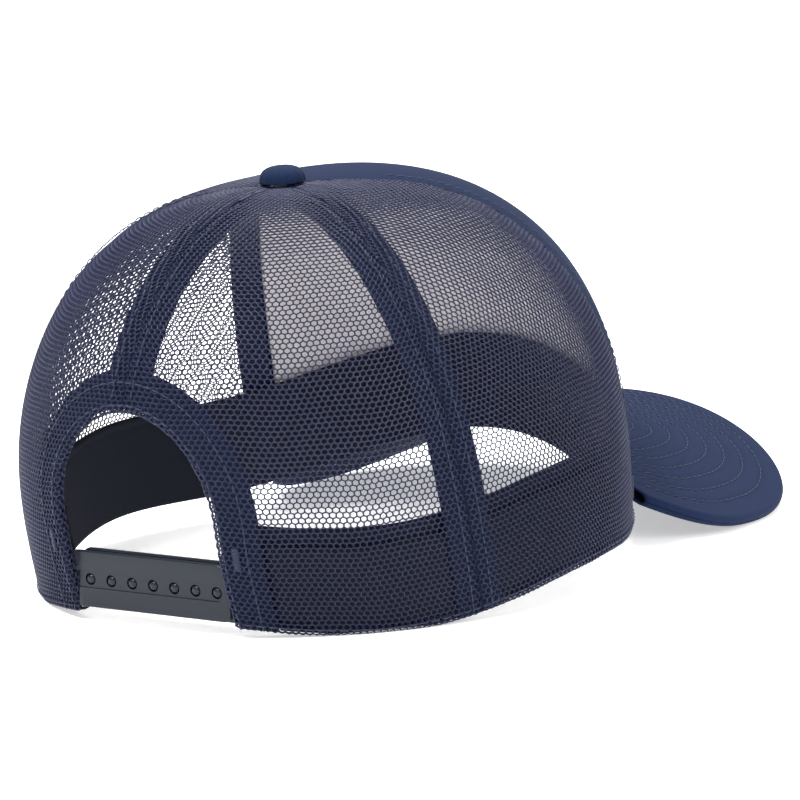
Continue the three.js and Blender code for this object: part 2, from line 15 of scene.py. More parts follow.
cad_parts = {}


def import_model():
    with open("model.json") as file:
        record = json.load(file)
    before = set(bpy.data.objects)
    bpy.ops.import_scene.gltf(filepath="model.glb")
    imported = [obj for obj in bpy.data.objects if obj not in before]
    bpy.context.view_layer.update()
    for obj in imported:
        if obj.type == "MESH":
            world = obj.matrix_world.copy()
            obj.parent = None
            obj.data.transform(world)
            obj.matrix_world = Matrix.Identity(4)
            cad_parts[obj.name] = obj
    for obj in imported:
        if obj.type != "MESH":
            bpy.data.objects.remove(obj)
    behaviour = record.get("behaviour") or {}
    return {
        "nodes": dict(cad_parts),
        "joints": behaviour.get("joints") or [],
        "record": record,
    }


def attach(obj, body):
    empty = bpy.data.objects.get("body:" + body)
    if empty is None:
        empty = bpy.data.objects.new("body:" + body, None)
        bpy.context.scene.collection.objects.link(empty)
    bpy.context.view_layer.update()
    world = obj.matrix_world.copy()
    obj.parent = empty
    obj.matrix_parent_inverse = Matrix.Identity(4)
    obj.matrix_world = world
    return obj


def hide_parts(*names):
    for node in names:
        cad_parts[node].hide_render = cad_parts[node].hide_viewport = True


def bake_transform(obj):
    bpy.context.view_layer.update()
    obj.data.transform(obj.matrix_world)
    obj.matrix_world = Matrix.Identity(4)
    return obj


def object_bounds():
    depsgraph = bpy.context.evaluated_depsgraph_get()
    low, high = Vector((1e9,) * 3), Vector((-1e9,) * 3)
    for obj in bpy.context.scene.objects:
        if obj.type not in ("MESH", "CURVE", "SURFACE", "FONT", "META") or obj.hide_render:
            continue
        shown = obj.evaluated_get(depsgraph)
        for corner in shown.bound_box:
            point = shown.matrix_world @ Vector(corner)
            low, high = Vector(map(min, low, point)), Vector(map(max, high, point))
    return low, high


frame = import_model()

CAD_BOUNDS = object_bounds()
MM = 0.001

# ---- The crown's own frame --------------------------------------------------------------------------

# The crown is tilted in the row frame. Its up axis and its pole come from the button's mount.
CROWN_HEIGHT = 108.4
POLE_SHIFT = 12.3
BUTTON_HEIGHT = 4.8

record = frame["record"]
button_mount = next(m for m in record["mounts"] if m["name"] == "button_top")
UP = np.array(button_mount["axis"])
ALONG = np.array([0.0, UP[2], -UP[1]])
ACROSS = np.array([1.0, 0.0, 0.0])
CROWN_AXES = np.stack([ACROSS, ALONG, UP])
POLE_HEIGHT = CROWN_HEIGHT + BUTTON_HEIGHT
CROWN_ORIGIN = np.array(button_mount["pos_m"]) - MM * (POLE_SHIFT * ALONG + POLE_HEIGHT * UP)


def to_row(points):
    """Points in the crown's frame, in mm, as points in the row frame, in metres."""
    return CROWN_ORIGIN + MM * np.asarray(points) @ CROWN_AXES


def to_row_direction(vectors):
    return vectors @ CROWN_AXES


def to_crown(point):
    """A point of the row frame, in metres, in the crown's frame, in mm."""
    return CROWN_AXES @ (np.array(point) - CROWN_ORIGIN) / MM


# ---- The crown's surface ----------------------------------------------------------------------------

HALF_WIDTH = 86.7
BACK_LENGTH = 95.9
FRONT_LENGTH = 96.3
BACK_ROUNDNESS = 1.9
FRONT_ROUNDNESS = 2.0
SHOULDER = {"back": 2.54, "side": 2.44, "front": 3.25}
BELLY = {"back": 0.059, "side": 0.0, "front": 0.095}
HEM_FRONT_RISE = 9
HEM_SIDE_DROP = 2.9
HEM_CORNER_DROP = 5.8

# Seams, in degrees round the crown from the centre back, and the layers' outer faces, in mm.
SIDE_SEAM = 62
FRONT_SEAM = 133
TAPE_OFFSET = -1.3
TAPE_THICKNESS = 0.7
BACKING_OFFSET = -1.4
LINING_OFFSET = -2.4
SWEATBAND_OFFSET = -4.5
TOP_HOLE_RADIUS = 5

OPENING_HALF_WIDTH = 27
OPENING_HEIGHT = 60.5
OPENING_STRAIGHT_HEIGHT = 27


def hem_radius(angle):
    side = np.abs(np.sin(angle))
    along = np.cos(angle)
    length = np.where(along > 0, BACK_LENGTH, FRONT_LENGTH)
    power = np.where(along > 0, BACK_ROUNDNESS, FRONT_ROUNDNESS)
    return ((side / HALF_WIDTH) ** power + (np.abs(along) / length) ** power) ** (-1 / power)


def hem_height(angle):
    front = np.maximum(-np.cos(angle), 0)
    side = np.sin(angle)
    corner = np.sin(2 * angle)
    return HEM_FRONT_RISE * front**3 - HEM_SIDE_DROP * side**2 - HEM_CORNER_DROP * corner**2


def round_the_crown(angle, values):
    """A value that changes smoothly from the back of the crown over its sides to its front."""
    back = np.maximum(np.cos(angle), 0) ** 2
    front = np.maximum(-np.cos(angle), 0) ** 2
    return back * values["back"] + front * values["front"] + (1 - back - front) * values["side"]


def slack(angle, rise):
    """How far the cloth strays from the smooth crown, in mm: soft swells, none at the hem or pole."""
    swell = np.sin(3 * angle + 7 * rise) + 0.7 * np.sin(5 * angle - 9 * rise + 1.3)
    return 0.28 * swell * np.sin(np.pi * np.clip(rise, 0, 1))


def crown_surface(angle, rise):
    """Points on the crown, in its own frame: angle in radians, rise 0 at the hem and 1 at the pole."""
    rise = np.clip(rise, 0, 1)
    power = round_the_crown(angle, SHOULDER)
    inward = (1 - rise**power) ** (1 / power)
    belly = 1 + round_the_crown(angle, BELLY) * np.sin(np.pi * rise)
    radius = hem_radius(angle) * inward * belly + slack(angle, rise) * inward
    hem = hem_height(angle)
    return np.stack(
        [
            -radius * np.sin(angle),
            radius * np.cos(angle) + POLE_SHIFT * rise,
            hem + (CROWN_HEIGHT - hem) * rise,
        ],
        axis=-1,
    )


def unit(vectors):
    return vectors / np.maximum(np.linalg.norm(vectors, axis=-1, keepdims=True), 1e-12)


def crown_normal(angle, rise):
    step = 0.002
    low = np.clip(rise - step, 0, 1)
    high = np.clip(rise + step, 0, 0.9995)
    low = np.minimum(low, high - step)
    round_it = crown_surface(angle + step, rise) - crown_surface(angle - step, rise)
    upward = crown_surface(angle, high) - crown_surface(angle, low)
    return unit(np.cross(round_it, upward))


def press_flat(points):
    """Keeps row-frame points on or above the surface that the cap rests on."""
    points[..., 2] = np.maximum(points[..., 2], 0.0002)
    return points


def on_crown(angle, rise, offset):
    """Row-frame points that stand off the crown by an offset in mm."""
    offset = np.asarray(offset)[..., None]
    return press_flat(to_row(crown_surface(angle, rise) + offset * crown_normal(angle, rise)))


def rise_at_radius(angle, radius):
    """The rise at which the crown has closed to a plan radius."""
    power = round_the_crown(angle, SHOULDER)
    return (1 - (radius / hem_radius(angle)) ** power) ** (1 / power)


TOP_RISE = float(rise_at_radius(0.0, TOP_HOLE_RADIUS))


class Meridian:
    """Lengths up the crown's surface at one angle, and round it from there."""

    def __init__(self, angle):
        self.angle = angle
        turn = np.linspace(0, 0.5 * np.pi, 900)
        self.rises = np.sin(turn) ** (2 / round_the_crown(angle, SHOULDER))
        steps = np.diff(crown_surface(np.full(900, angle), self.rises), axis=0)
        self.lengths = np.concatenate([[0], np.cumsum(np.linalg.norm(steps, axis=1))])

    def rise(self, length):
        return np.interp(length, self.lengths, self.rises)

    def length(self, rise):
        return float(np.interp(rise, self.rises, self.lengths))

    def angles(self, rise, across, reach=1.3):
        """Angles at lengths round the crown from here, at one rise. + is towards the wearer's right."""
        fan = self.angle + np.linspace(-reach, reach, 241)
        steps = np.diff(crown_surface(fan, np.full(241, rise)), axis=0)
        run = np.concatenate([[0], np.cumsum(np.linalg.norm(steps, axis=1))])
        return np.interp(across, run - run[120], fan, left=fan[0], right=fan[-1])


def wall_y(x, z):
    """The y of the crown's back wall at an x and a height, in its own frame."""
    angle = np.arcsin(np.clip(-x / BACK_LENGTH, -0.99, 0.99))
    for _ in range(12):
        hem = hem_height(angle)
        rise = np.clip((z - hem) / (CROWN_HEIGHT - hem), 0, 0.98)
        point = crown_surface(angle, rise)
        angle = angle + (point[..., 0] - x) / np.maximum(hem_radius(angle) * np.cos(angle), 20)
    return point[..., 1], angle, rise


# ---- Meshes from points -----------------------------------------------------------------------------


def linked(name, data):
    """A new object in the scene."""
    made = bpy.data.objects.new(name, data)
    bpy.context.scene.collection.objects.link(made)
    return made


def piece(name, vertices, faces, material, flat=None):
    """A mesh object on the crown. flat gives each vertex its place on the flat cloth, in metres."""
    mesh = bpy.data.meshes.new(name)
    vertices = np.asarray(vertices, float)
    mesh.from_pydata(vertices.tolist(), [], np.asarray(faces).tolist())
    mesh.validate()
    if flat is not None:
        layer = mesh.uv_layers.new(name="flat")
        corners = np.zeros(len(mesh.loops), np.int32)
        mesh.loops.foreach_get("vertex_index", corners)
        layer.data.foreach_set("uv", np.asarray(flat, np.float32)[corners].ravel())
    mesh.shade_smooth()
    mesh.materials.append(material)
    made = linked(name, mesh)
    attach(made, "crown")
    return made


def sheet_faces(rows, columns):
    """Quads of a closed sheet whose vertices are an outer grid followed by an inner one."""
    at = np.arange(rows * columns).reshape(rows, columns)
    under = at + rows * columns
    quads = [np.stack([at[:-1, :-1], at[:-1, 1:], at[1:, 1:], at[1:, :-1]], -1).reshape(-1, 4)]
    inner = [under[1:, :-1], under[1:, 1:], under[:-1, 1:], under[:-1, :-1]]
    quads.append(np.stack(inner, -1).reshape(-1, 4))
    for edge in (np.s_[0], np.s_[-1, ::-1], np.s_[:, -1], np.s_[::-1, 0]):
        top, low = at[edge], under[edge]
        quads.append(np.stack([top[1:], top[:-1], low[:-1], low[1:]], -1))
    return np.concatenate(quads)


def sheet_piece(name, outer, inner, flat, material):
    """A thick sheet between two grids of points."""
    rows, columns = outer.shape[:2]
    vertices = np.concatenate([outer.reshape(-1, 3), inner.reshape(-1, 3)])
    places = np.concatenate([flat.reshape(-1, 2)] * 2)
    return piece(name, vertices, sheet_faces(rows, columns), material, places)


def declare(nodes):
    """Hides the CAD nodes that a piece of cloth stands for."""
    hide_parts(*nodes)

# ---- Node materials ---------------------------------------------------------------------------------


class Nodes:
    """Short ways to add nodes to one material."""

    def __init__(self, name):
        self.material = bpy.data.materials.new(name)
        self.material.use_nodes = True
        self.tree = self.material.node_tree
        self.shader = self.tree.nodes["Principled BSDF"]

    def add(self, kind, **settings):
        node = self.tree.nodes.new(kind)
        for setting, value in settings.items():
            setattr(node, setting, value)
        return node

    def link(self, value, socket):
        """Feeds a socket from another node's output, or sets it to a number or colour."""
        if isinstance(value, bpy.types.NodeSocket):
            self.tree.links.new(value, socket)
        else:
            socket.default_value = value

    def maths(self, operation, *values):
        node = self.add("ShaderNodeMath", operation=operation)
        for value, socket in zip(values, node.inputs):
            self.link(value, socket)
        return node.outputs[0]

    def flat(self):
        """The two flat cloth coordinates, in metres."""
        place = self.add("ShaderNodeUVMap", uv_map="flat")
        split = self.add("ShaderNodeSeparateXYZ")
        self.tree.links.new(place.outputs["UV"], split.inputs[0])
        return split.outputs[0], split.outputs[1]

    def noise(self, size, detail=3.0, stretch=(1, 1, 1)):
        """Noise over the piece's own space, with features of about a size in metres."""
        place = self.add("ShaderNodeTexCoord")
        scale = self.add("ShaderNodeMapping")
        scale.inputs["Scale"].default_value = stretch
        self.tree.links.new(place.outputs["Object"], scale.inputs["Vector"])
        node = self.add("ShaderNodeTexNoise")
        node.inputs["Scale"].default_value = 1 / size
        node.inputs["Detail"].default_value = detail
        self.tree.links.new(scale.outputs["Vector"], node.inputs["Vector"])
        return node.outputs["Fac"]

    def wave(self, along, pitch):
        """A sine of one coordinate, from 0 to 1."""
        turn = self.maths("MULTIPLY_ADD", along, 2 * math.pi / pitch, 0.0)
        return self.maths("MULTIPLY_ADD", self.maths("SINE", turn), 0.5, 0.5)

    def blend(self, share, first, second):
        node = self.add("ShaderNodeMix", data_type="RGBA")
        self.link(share, node.inputs["Factor"])
        self.link(first, node.inputs["A"])
        self.link(second, node.inputs["B"])
        return node.outputs["Result"]

    def ramp(self, value, low, high):
        node = self.add("ShaderNodeMapRange")
        self.link(value, node.inputs["Value"])
        node.inputs["To Min"].default_value = low
        node.inputs["To Max"].default_value = high
        return node.outputs["Result"]

    def bump(self, *layers):
        """Bumps one upon the other, each a height from 0 to 1 and its depth in metres."""
        normal = None
        for height, depth in layers:
            node = self.add("ShaderNodeBump")
            node.inputs["Distance"].default_value = depth
            self.link(height, node.inputs["Height"])
            if normal is not None:
                self.tree.links.new(normal, node.inputs["Normal"])
            normal = node.outputs["Normal"]
        self.link(normal, self.shader.inputs["Normal"])

    def set(self, **values):
        for socket, value in values.items():
            self.link(value, self.shader.inputs[socket.replace("_", " ")])
        return self.material


def colour(red, green, blue):
    return (red, green, blue, 1.0)


def cloth(name, dark, light, pitch, twill=True):
    """Woven cloth: yarns at a pitch in metres, crossing as a twill or a plain weave, worn and fuzzy."""
    nodes = Nodes(name)
    across, along = nodes.flat()
    diagonal = nodes.maths("ADD", across, along)
    warp = nodes.wave(diagonal if twill else across, pitch)
    weft = nodes.wave(along, pitch / 2)
    weave = nodes.maths("MULTIPLY_ADD", weft, 0.35, nodes.maths("MULTIPLY", warp, 0.65))
    wear = nodes.noise(0.035, 4)
    fuzz = nodes.noise(0.0005, 2)
    shade = nodes.maths("MULTIPLY_ADD", weave, 0.45, nodes.maths("MULTIPLY", fuzz, 0.35))
    shade = nodes.maths("MULTIPLY_ADD", wear, 0.3, shade)
    nodes.bump((wear, 0.0004), (weave, 0.00012), (fuzz, 0.00006))
    return nodes.set(
        Base_Color=nodes.blend(shade, dark, light),
        Roughness=nodes.ramp(wear, 0.72, 0.92),
        Sheen_Weight=0.02,
        Sheen_Roughness=0.45,
        Specular_IOR_Level=0.1,
    )


def yarn(name, dark, light, roughness, pitch):
    """Bare yarn or thread: fine filaments with a soft shine."""
    nodes = Nodes(name)
    tone = nodes.noise(0.02, 3)
    filament = nodes.noise(pitch, 2, (1, 1, 0.35))
    shade = nodes.maths("MULTIPLY_ADD", filament, 0.6, nodes.maths("MULTIPLY", tone, 0.4))
    nodes.bump((filament, 0.00005))
    return nodes.set(
        Base_Color=nodes.blend(shade, dark, light),
        Roughness=nodes.ramp(filament, roughness - 0.1, roughness + 0.1),
        Sheen_Weight=0.04,
        Sheen_Roughness=0.4,
        Specular_IOR_Level=0.3,
    )


def plastic(name, dark, light, roughness, grain):
    """Moulded plastic with a fine grain, faint flow marks and rubbed patches."""
    nodes = Nodes(name)
    patches = nodes.noise(0.012, 4)
    flow = nodes.noise(0.004, 2, (0.15, 1, 1))
    pores = nodes.noise(grain, 2)
    shade = nodes.maths("MULTIPLY_ADD", patches, 0.6, nodes.maths("MULTIPLY", flow, 0.4))
    nodes.bump((flow, 0.00003), (pores, 0.00002))
    return nodes.set(
        Base_Color=nodes.blend(shade, dark, light),
        Roughness=nodes.ramp(patches, roughness - 0.08, roughness + 0.1),
        Specular_IOR_Level=0.3,
    )


def steel(name):
    """Pressed steel, dulled by handling and finely scratched."""
    nodes = Nodes(name)
    scratches = nodes.noise(0.0008, 3, (1, 0.08, 1))
    tarnish = nodes.noise(0.004, 4)
    nodes.bump((scratches, 0.00001))
    return nodes.set(
        Base_Color=nodes.blend(tarnish, colour(0.3, 0.3, 0.31), colour(0.5, 0.5, 0.52)),
        Metallic=1.0,
        Roughness=nodes.ramp(tarnish, 0.3, 0.5),
    )


TWILL = cloth("navy_twill", colour(0.003, 0.007, 0.025), colour(0.009, 0.020, 0.062), 0.0007)
BACKING = cloth("grey_backing", colour(0.66, 0.61, 0.62), colour(0.86, 0.82, 0.81), 0.0011, False)
TAPE = cloth("navy_tape", colour(0.006, 0.009, 0.022), colour(0.02, 0.028, 0.06), 0.0008, False)
SWEATBAND = cloth("dark_sweatband", colour(0.004, 0.005, 0.010), colour(0.018, 0.021, 0.034), 0.0006)
LINING = cloth("dark_lining", colour(0.006, 0.007, 0.012), colour(0.02, 0.022, 0.032), 0.0014, False)
KNIT = yarn("navy_knit_yarn", colour(0.003, 0.005, 0.020), colour(0.012, 0.017, 0.062), 0.34, 0.0003)
THREAD = yarn("navy_thread", colour(0.006, 0.011, 0.032), colour(0.024, 0.036, 0.080), 0.42, 0.0002)
STRAP = plastic("slate_plastic", colour(0.003, 0.006, 0.012), colour(0.007, 0.011, 0.020), 0.30, 0.0003)
BOARD = plastic("white_board", colour(0.60, 0.60, 0.58), colour(0.74, 0.74, 0.72), 0.5, 0.0005)
STEEL = steel("pressed_steel")

# ---- Honeycomb mesh ---------------------------------------------------------------------------------

CELL_WIDTH = 1.9
CELL_ROW = 1.45
HOLE_SHARE = 0.75
STRAND_HALF_HEIGHT = 0.32
KNIT_UNEVENNESS = 0.05
KNIT_WANDER = 0.22
RANDOM = np.random.default_rng(11)
RISE_LEVELS = 3000
HEM_FOLD_RADIUS = 0.9
OPENING_FOLD_RADIUS = 1.3
OPENING_FLAP = 8.5
SEAM_DIP = 0.5
SEAM_DIP_WIDTH = 1.5

# Corners of a cell, clockwise from its top, in half widths and thirds of a row.
CORNER_STEPS = np.array([(0, 2), (1, 1), (1, -1), (0, -2), (-1, -1), (-1, 1)])


def fold_over(distance, radius, height):
    """Where cloth ends up that runs over an edge: its distance from the edge, and its offset from the face.

    distance is how far it was from the edge before, and height how far it stands off its own middle.
    """
    turn = np.clip((radius - distance) / radius, 0, np.pi)
    beyond = np.maximum(radius - distance - np.pi * radius, 0)
    flat_part = np.maximum(distance - radius, 0)
    folded = radius - (radius + height) * np.sin(turn) + beyond + flat_part
    return folded, -radius + (radius + height) * np.cos(turn)


def from_arch(x, z):
    """Distance outside the opening's arch, and the direction away from it in x and z."""
    upper = np.maximum(z - OPENING_STRAIGHT_HEIGHT, 0)
    height = OPENING_HEIGHT - OPENING_STRAIGHT_HEIGHT
    ring = np.maximum(np.hypot(x / OPENING_HALF_WIDTH, upper / height), 1e-6)
    slope = np.stack([x / OPENING_HALF_WIDTH**2, upper / height**2], -1) / ring[..., None]
    steepness = np.maximum(np.linalg.norm(slope, axis=-1), 1e-6)
    return (ring - 1) / steepness, slope / steepness[..., None]


def cloth_angles(meridian, rise, across):
    """Angles for many places on cloth hung from a meridian, worked out together for each level of rise."""
    levels, which = np.unique(np.round(rise * RISE_LEVELS) / RISE_LEVELS, return_inverse=True)
    order = np.argsort(which, kind="stable")
    starts = np.searchsorted(which[order], np.arange(len(levels)))
    ends = np.append(starts[1:], len(order))
    angles = np.zeros(len(rise))
    for level, start, end in zip(levels, starts, ends):
        here = order[start:end]
        angles[here] = meridian.angles(level, across[here])
    return angles


def drape(flat, height, meridian, limits, open_back):
    """Row-frame points of mesh cloth. height is how far each point stands off the cloth's middle, in mm."""
    up, offset = fold_over(flat[:, 1], HEM_FOLD_RADIUS, height)
    rise = np.minimum(meridian.rise(up), TOP_RISE)
    angle = np.clip(cloth_angles(meridian, rise, flat[:, 0]), *limits)
    offset = offset - STRAND_HALF_HEIGHT
    if open_back:
        place = crown_surface(angle, rise)
        distance, away = from_arch(place[:, 0], place[:, 2])
        near = (distance < OPENING_FOLD_RADIUS) & (place[:, 1] > 0)
        folded, extra = fold_over(distance[near], OPENING_FOLD_RADIUS, height[near])
        shift = (folded - distance[near])[:, None] * away[near]
        _, angle[near], rise[near] = wall_y(place[near, 0] + shift[:, 0], place[near, 2] + shift[:, 1])
        offset[near] += extra - height[near]
    to_seam = np.minimum(angle - limits[0], limits[1] - angle) * hem_radius(angle) * (1.02 - rise)
    offset = offset - SEAM_DIP * np.exp(-((to_seam / SEAM_DIP_WIDTH) ** 2))
    return on_crown(angle, rise, offset)


def mesh_panel(name, node, start, end, open_back=False):
    """A panel of honeycomb knit between two seams: each cell is a ring of rounded strands round a hole."""
    limits = (math.radians(start), math.radians(end))
    meridian = Meridian(sum(limits) / 2)
    half = 0.5 * (limits[1] - limits[0]) * 1.05 * BACK_LENGTH
    top = meridian.length(TOP_RISE)
    rows = np.arange(-2, math.ceil(top / CELL_ROW) + 2)
    columns = np.arange(-math.ceil(half / CELL_WIDTH), math.ceil(half / CELL_WIDTH) + 1)
    row, column = (grid.ravel() for grid in np.meshgrid(rows, columns, indexing="ij"))
    middle = np.stack([2 * column + row % 2, 3 * row], -1)
    size = np.array([CELL_WIDTH / 2, CELL_ROW / 3])

    rise = meridian.rise(middle[:, 1] * size[1])
    angle = cloth_angles(meridian, rise, middle[:, 0] * size[0])
    place = crown_surface(angle, rise)
    kept = (angle > limits[0]) & (angle < limits[1]) & (rise < TOP_RISE)
    if open_back:
        kept &= (from_arch(place[:, 0], place[:, 2])[0] > -OPENING_FLAP) | (place[:, 1] < 0)
    middle = middle[kept]

    corners = (middle[:, None] + CORNER_STEPS).reshape(-1, 2)
    shared, corner = np.unique(corners, axis=0, return_inverse=True)
    corner = corner.reshape(-1, 6)
    holes = (middle[:, None] + HOLE_SHARE * CORNER_STEPS).reshape(-1, 2)
    count = len(shared)
    uneven = RANDOM.normal(0, KNIT_UNEVENNESS, shared.shape)
    flat = np.concatenate([shared, shared, holes]) * size
    flat = flat + np.concatenate([uneven, uneven, uneven[corner.ravel()]])
    flat[:, 0] += KNIT_WANDER * np.sin(flat[:, 1] / 3.1 + 1.5 * np.sin(flat[:, 0] / 13))
    flat[:, 1] += KNIT_WANDER * np.sin(flat[:, 0] / 4.7 + 1.5 * np.sin(flat[:, 1] / 17))
    height = np.repeat([STRAND_HALF_HEIGHT, -STRAND_HALF_HEIGHT, 0], [count, count, len(holes)])

    hole = 2 * count + np.arange(len(holes)).reshape(-1, 6)
    after, hole_after = np.roll(corner, -1, 1), np.roll(hole, -1, 1)
    outer = np.stack([corner, hole, hole_after, after], -1).reshape(-1, 4)
    inner = np.stack([corner, after, hole_after, hole], -1).reshape(-1, 4)
    inner = inner + np.array([count, count, 0, 0])
    sides = np.stack([corner, after], -1).reshape(-1, 2)
    _, first, uses = np.unique(np.sort(sides, 1), axis=0, return_index=True, return_counts=True)
    rim = sides[first[uses == 1]]
    rim = np.stack([rim[:, 0], rim[:, 1], rim[:, 1] + count, rim[:, 0] + count], -1)
    points = drape(flat, height, meridian, limits, open_back)
    made = piece(name, points, np.concatenate([outer, inner, rim]), KNIT, flat * MM)
    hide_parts(node)
    return made


HANDS = (("right", 1), ("left", -1))
for place, seams in (("back", (0, SIDE_SEAM)), ("side", (SIDE_SEAM, FRONT_SEAM))):
    for hand, sign in HANDS:
        start, end = sorted(sign * seam for seam in seams)
        mesh_panel(f"{place}_mesh_{hand}", f"mesh_{place}_{hand}", start, end, place == "back")

# ---- Sheets that lie on the crown -------------------------------------------------------------------

SWEATBAND_HEIGHT = 31
LINING_HEIGHT = 26
TAPE_WIDTH = 15
FRONT_TAPE_WIDTH = 10
BACK_TAPE_CLEARANCE = 10.5
OPENING_TAPE_MARGINS = (0.8, 11.0)
TAPE_TOP_RADIUS = 18
PROFILE_POWER = 1.3


def rises_between(low, high, count):
    """Rises about evenly spaced along the crown's profile."""
    turns = np.linspace(math.asin(low**PROFILE_POWER), math.asin(high**PROFILE_POWER), count)
    return np.sin(turns) ** (1 / PROFILE_POWER)


def flat_places(points):
    """Where a grid of points, in mm, would lie if the cloth were spread flat."""
    middle = points.shape[1] // 2
    across = np.linalg.norm(np.diff(points, axis=1), axis=-1).cumsum(axis=1)
    across = np.concatenate([np.zeros((len(points), 1)), across], axis=1)
    up = np.linalg.norm(np.diff(points[:, middle], axis=0), axis=-1).cumsum()
    up = np.concatenate([[0], up])
    across = across - across[:, middle : middle + 1]
    return np.stack([across, np.broadcast_to(up[:, None], across.shape)], -1)


def crown_sheet(name, node, material, angle, rise, offset, thickness):
    """A thick sheet over grids of angles and rises; offset and thickness may be grids too."""
    outer = on_crown(angle, rise, offset)
    inner = on_crown(angle, rise, np.asarray(offset) - thickness)
    flat = flat_places(crown_surface(angle, rise)) * MM
    made = sheet_piece(name, outer, inner, flat, material)
    declare([node])
    return made


def seam_dips(angle, rise, start, end, depth, width):
    """How far cloth sinks towards the seams at its two ends."""
    nearest = np.minimum(angle - start, end - angle) * hem_radius(angle) * (1.02 - rise)
    return -depth * np.exp(-((nearest / width) ** 2))


def front_panel():
    """The woven front, pulled in a little at its seams."""
    start, end = math.radians(FRONT_SEAM), math.radians(360 - FRONT_SEAM)
    top = float(rise_at_radius(np.pi, TOP_HOLE_RADIUS))
    rise, angle = np.meshgrid(rises_between(0, top, 100), np.linspace(start, end, 150), indexing="ij")
    offset = 0.1 + seam_dips(angle, rise, start, end, 0.7, 2.0)
    crown_sheet("front_twill", "front_panel", TWILL, angle, rise, offset, 0.85)


def front_backing():
    """The light lining that stiffens the front panel."""
    start, end = math.radians(FRONT_SEAM + 3.7), math.radians(360 - FRONT_SEAM - 3.7)
    top = float(rise_at_radius(np.pi, TAPE_TOP_RADIUS))
    rise, angle = np.meshgrid(rises_between(0, top, 60), np.linspace(start, end, 90), indexing="ij")
    offset = np.full(angle.shape, BACKING_OFFSET)
    crown_sheet("front_lining", "front_backing", BACKING, angle, rise, offset, 1.6)


def crown_strip(centre, width, rises, columns):
    """Angles and rises of a strip of one width that runs up the crown."""
    middle = crown_surface(np.full(len(rises), centre), rises)
    radius = np.hypot(middle[:, 0], middle[:, 1] - POLE_SHIFT * rises)
    across = np.linspace(-width / 2, width / 2, columns)
    angle = centre + np.arcsin(np.clip(across[None] / radius[:, None], -0.99, 0.99))
    return angle, np.broadcast_to(rises[:, None], angle.shape)


def seam_tape(name, node, degrees, width, lowest=0.0):
    """A tape that covers a seam from inside, its edges lying a little lower than its middle."""
    centre = math.radians(degrees)
    top = float(rise_at_radius(centre, TAPE_TOP_RADIUS))
    angle, rise = crown_strip(centre, width, rises_between(lowest, top, 70), 11)
    crease = np.abs(np.linspace(-1, 1, 11)) ** 4
    offset = TAPE_OFFSET - 0.15 * crease + np.zeros(angle.shape)
    crown_sheet(name, node, TAPE, angle, rise, offset, TAPE_THICKNESS)


def along_arch(margin, count, foot=-8.0):
    """x and z of points a margin outside the opening's arch, from its foot at the wearer's left."""
    straight = np.linspace(foot, OPENING_STRAIGHT_HEIGHT, count // 4, endpoint=False)
    turn = np.linspace(0, np.pi, count - 2 * (count // 4))
    rise = OPENING_HEIGHT - OPENING_STRAIGHT_HEIGHT
    leg = np.ones(len(straight))
    x = OPENING_HALF_WIDTH * np.concatenate([leg, np.cos(turn), -leg])
    z = np.concatenate([straight, OPENING_STRAIGHT_HEIGHT + rise * np.sin(turn), straight[::-1]])
    away = from_arch(x, z)[1]
    return x + margin * away[:, 0], z + margin * away[:, 1]


def on_back_wall(x, z, offset):
    _, angle, rise = wall_y(x, z)
    return on_crown(angle, rise, offset)


def opening_tape():
    """The tape that stiffens the opening, between the mesh and its turned-in flap."""
    margins = np.linspace(*OPENING_TAPE_MARGINS, 9)
    lines = [along_arch(margin, 120) for margin in margins]
    x, z = np.stack([line[0] for line in lines]), np.stack([line[1] for line in lines])
    outer = on_back_wall(x, z, np.full(x.shape, TAPE_OFFSET + 0.05))
    inner = on_back_wall(x, z, np.full(x.shape, TAPE_OFFSET - 0.45))
    flat = flat_places(outer / MM) * MM
    made = sheet_piece("opening_stay_tape", outer, inner, flat, TAPE)
    declare(["opening_tape"])


def low_band(start, end, columns, height, rows):
    """Angles and rises of a band of one height that follows the hem."""
    up, angle = np.meshgrid(np.linspace(0, height, rows), np.linspace(start, end, columns), indexing="ij")
    return angle, up / (CROWN_HEIGHT - hem_height(angle))


def sweatband():
    """The band inside the hem, with a rolled top edge."""
    start = math.asin((OPENING_HALF_WIDTH + 2) / (BACK_LENGTH - 5))
    angle, rise = low_band(start, 2 * np.pi - start, 280, SWEATBAND_HEIGHT, 32)
    up = rise * (CROWN_HEIGHT - hem_height(angle))
    roll = np.exp(-(((up - SWEATBAND_HEIGHT + 0.8) / 1.0) ** 2))
    seam = np.exp(-(((up - SWEATBAND_HEIGHT + 3.2) / 0.7) ** 2))
    offset = SWEATBAND_OFFSET + 0.2 * roll
    thickness = 0.9 + 0.7 * roll - 0.3 * seam
    crown_sheet("sweatband_cloth", "sweatband", SWEATBAND, angle, rise, offset, thickness)


def sweatband_lining(name, node, side):
    """A soft strip between the mesh and the sweatband."""
    start = math.asin((OPENING_HALF_WIDTH + 11) / (BACK_LENGTH - 3))
    end = math.radians(FRONT_SEAM - 3.4)
    ends = (start, end) if side > 0 else (2 * np.pi - end, 2 * np.pi - start)
    angle, rise = low_band(*ends, 90, LINING_HEIGHT, 12)
    offset = np.full(angle.shape, LINING_OFFSET)
    crown_sheet(name, node, LINING, angle, rise, offset, 1.5)


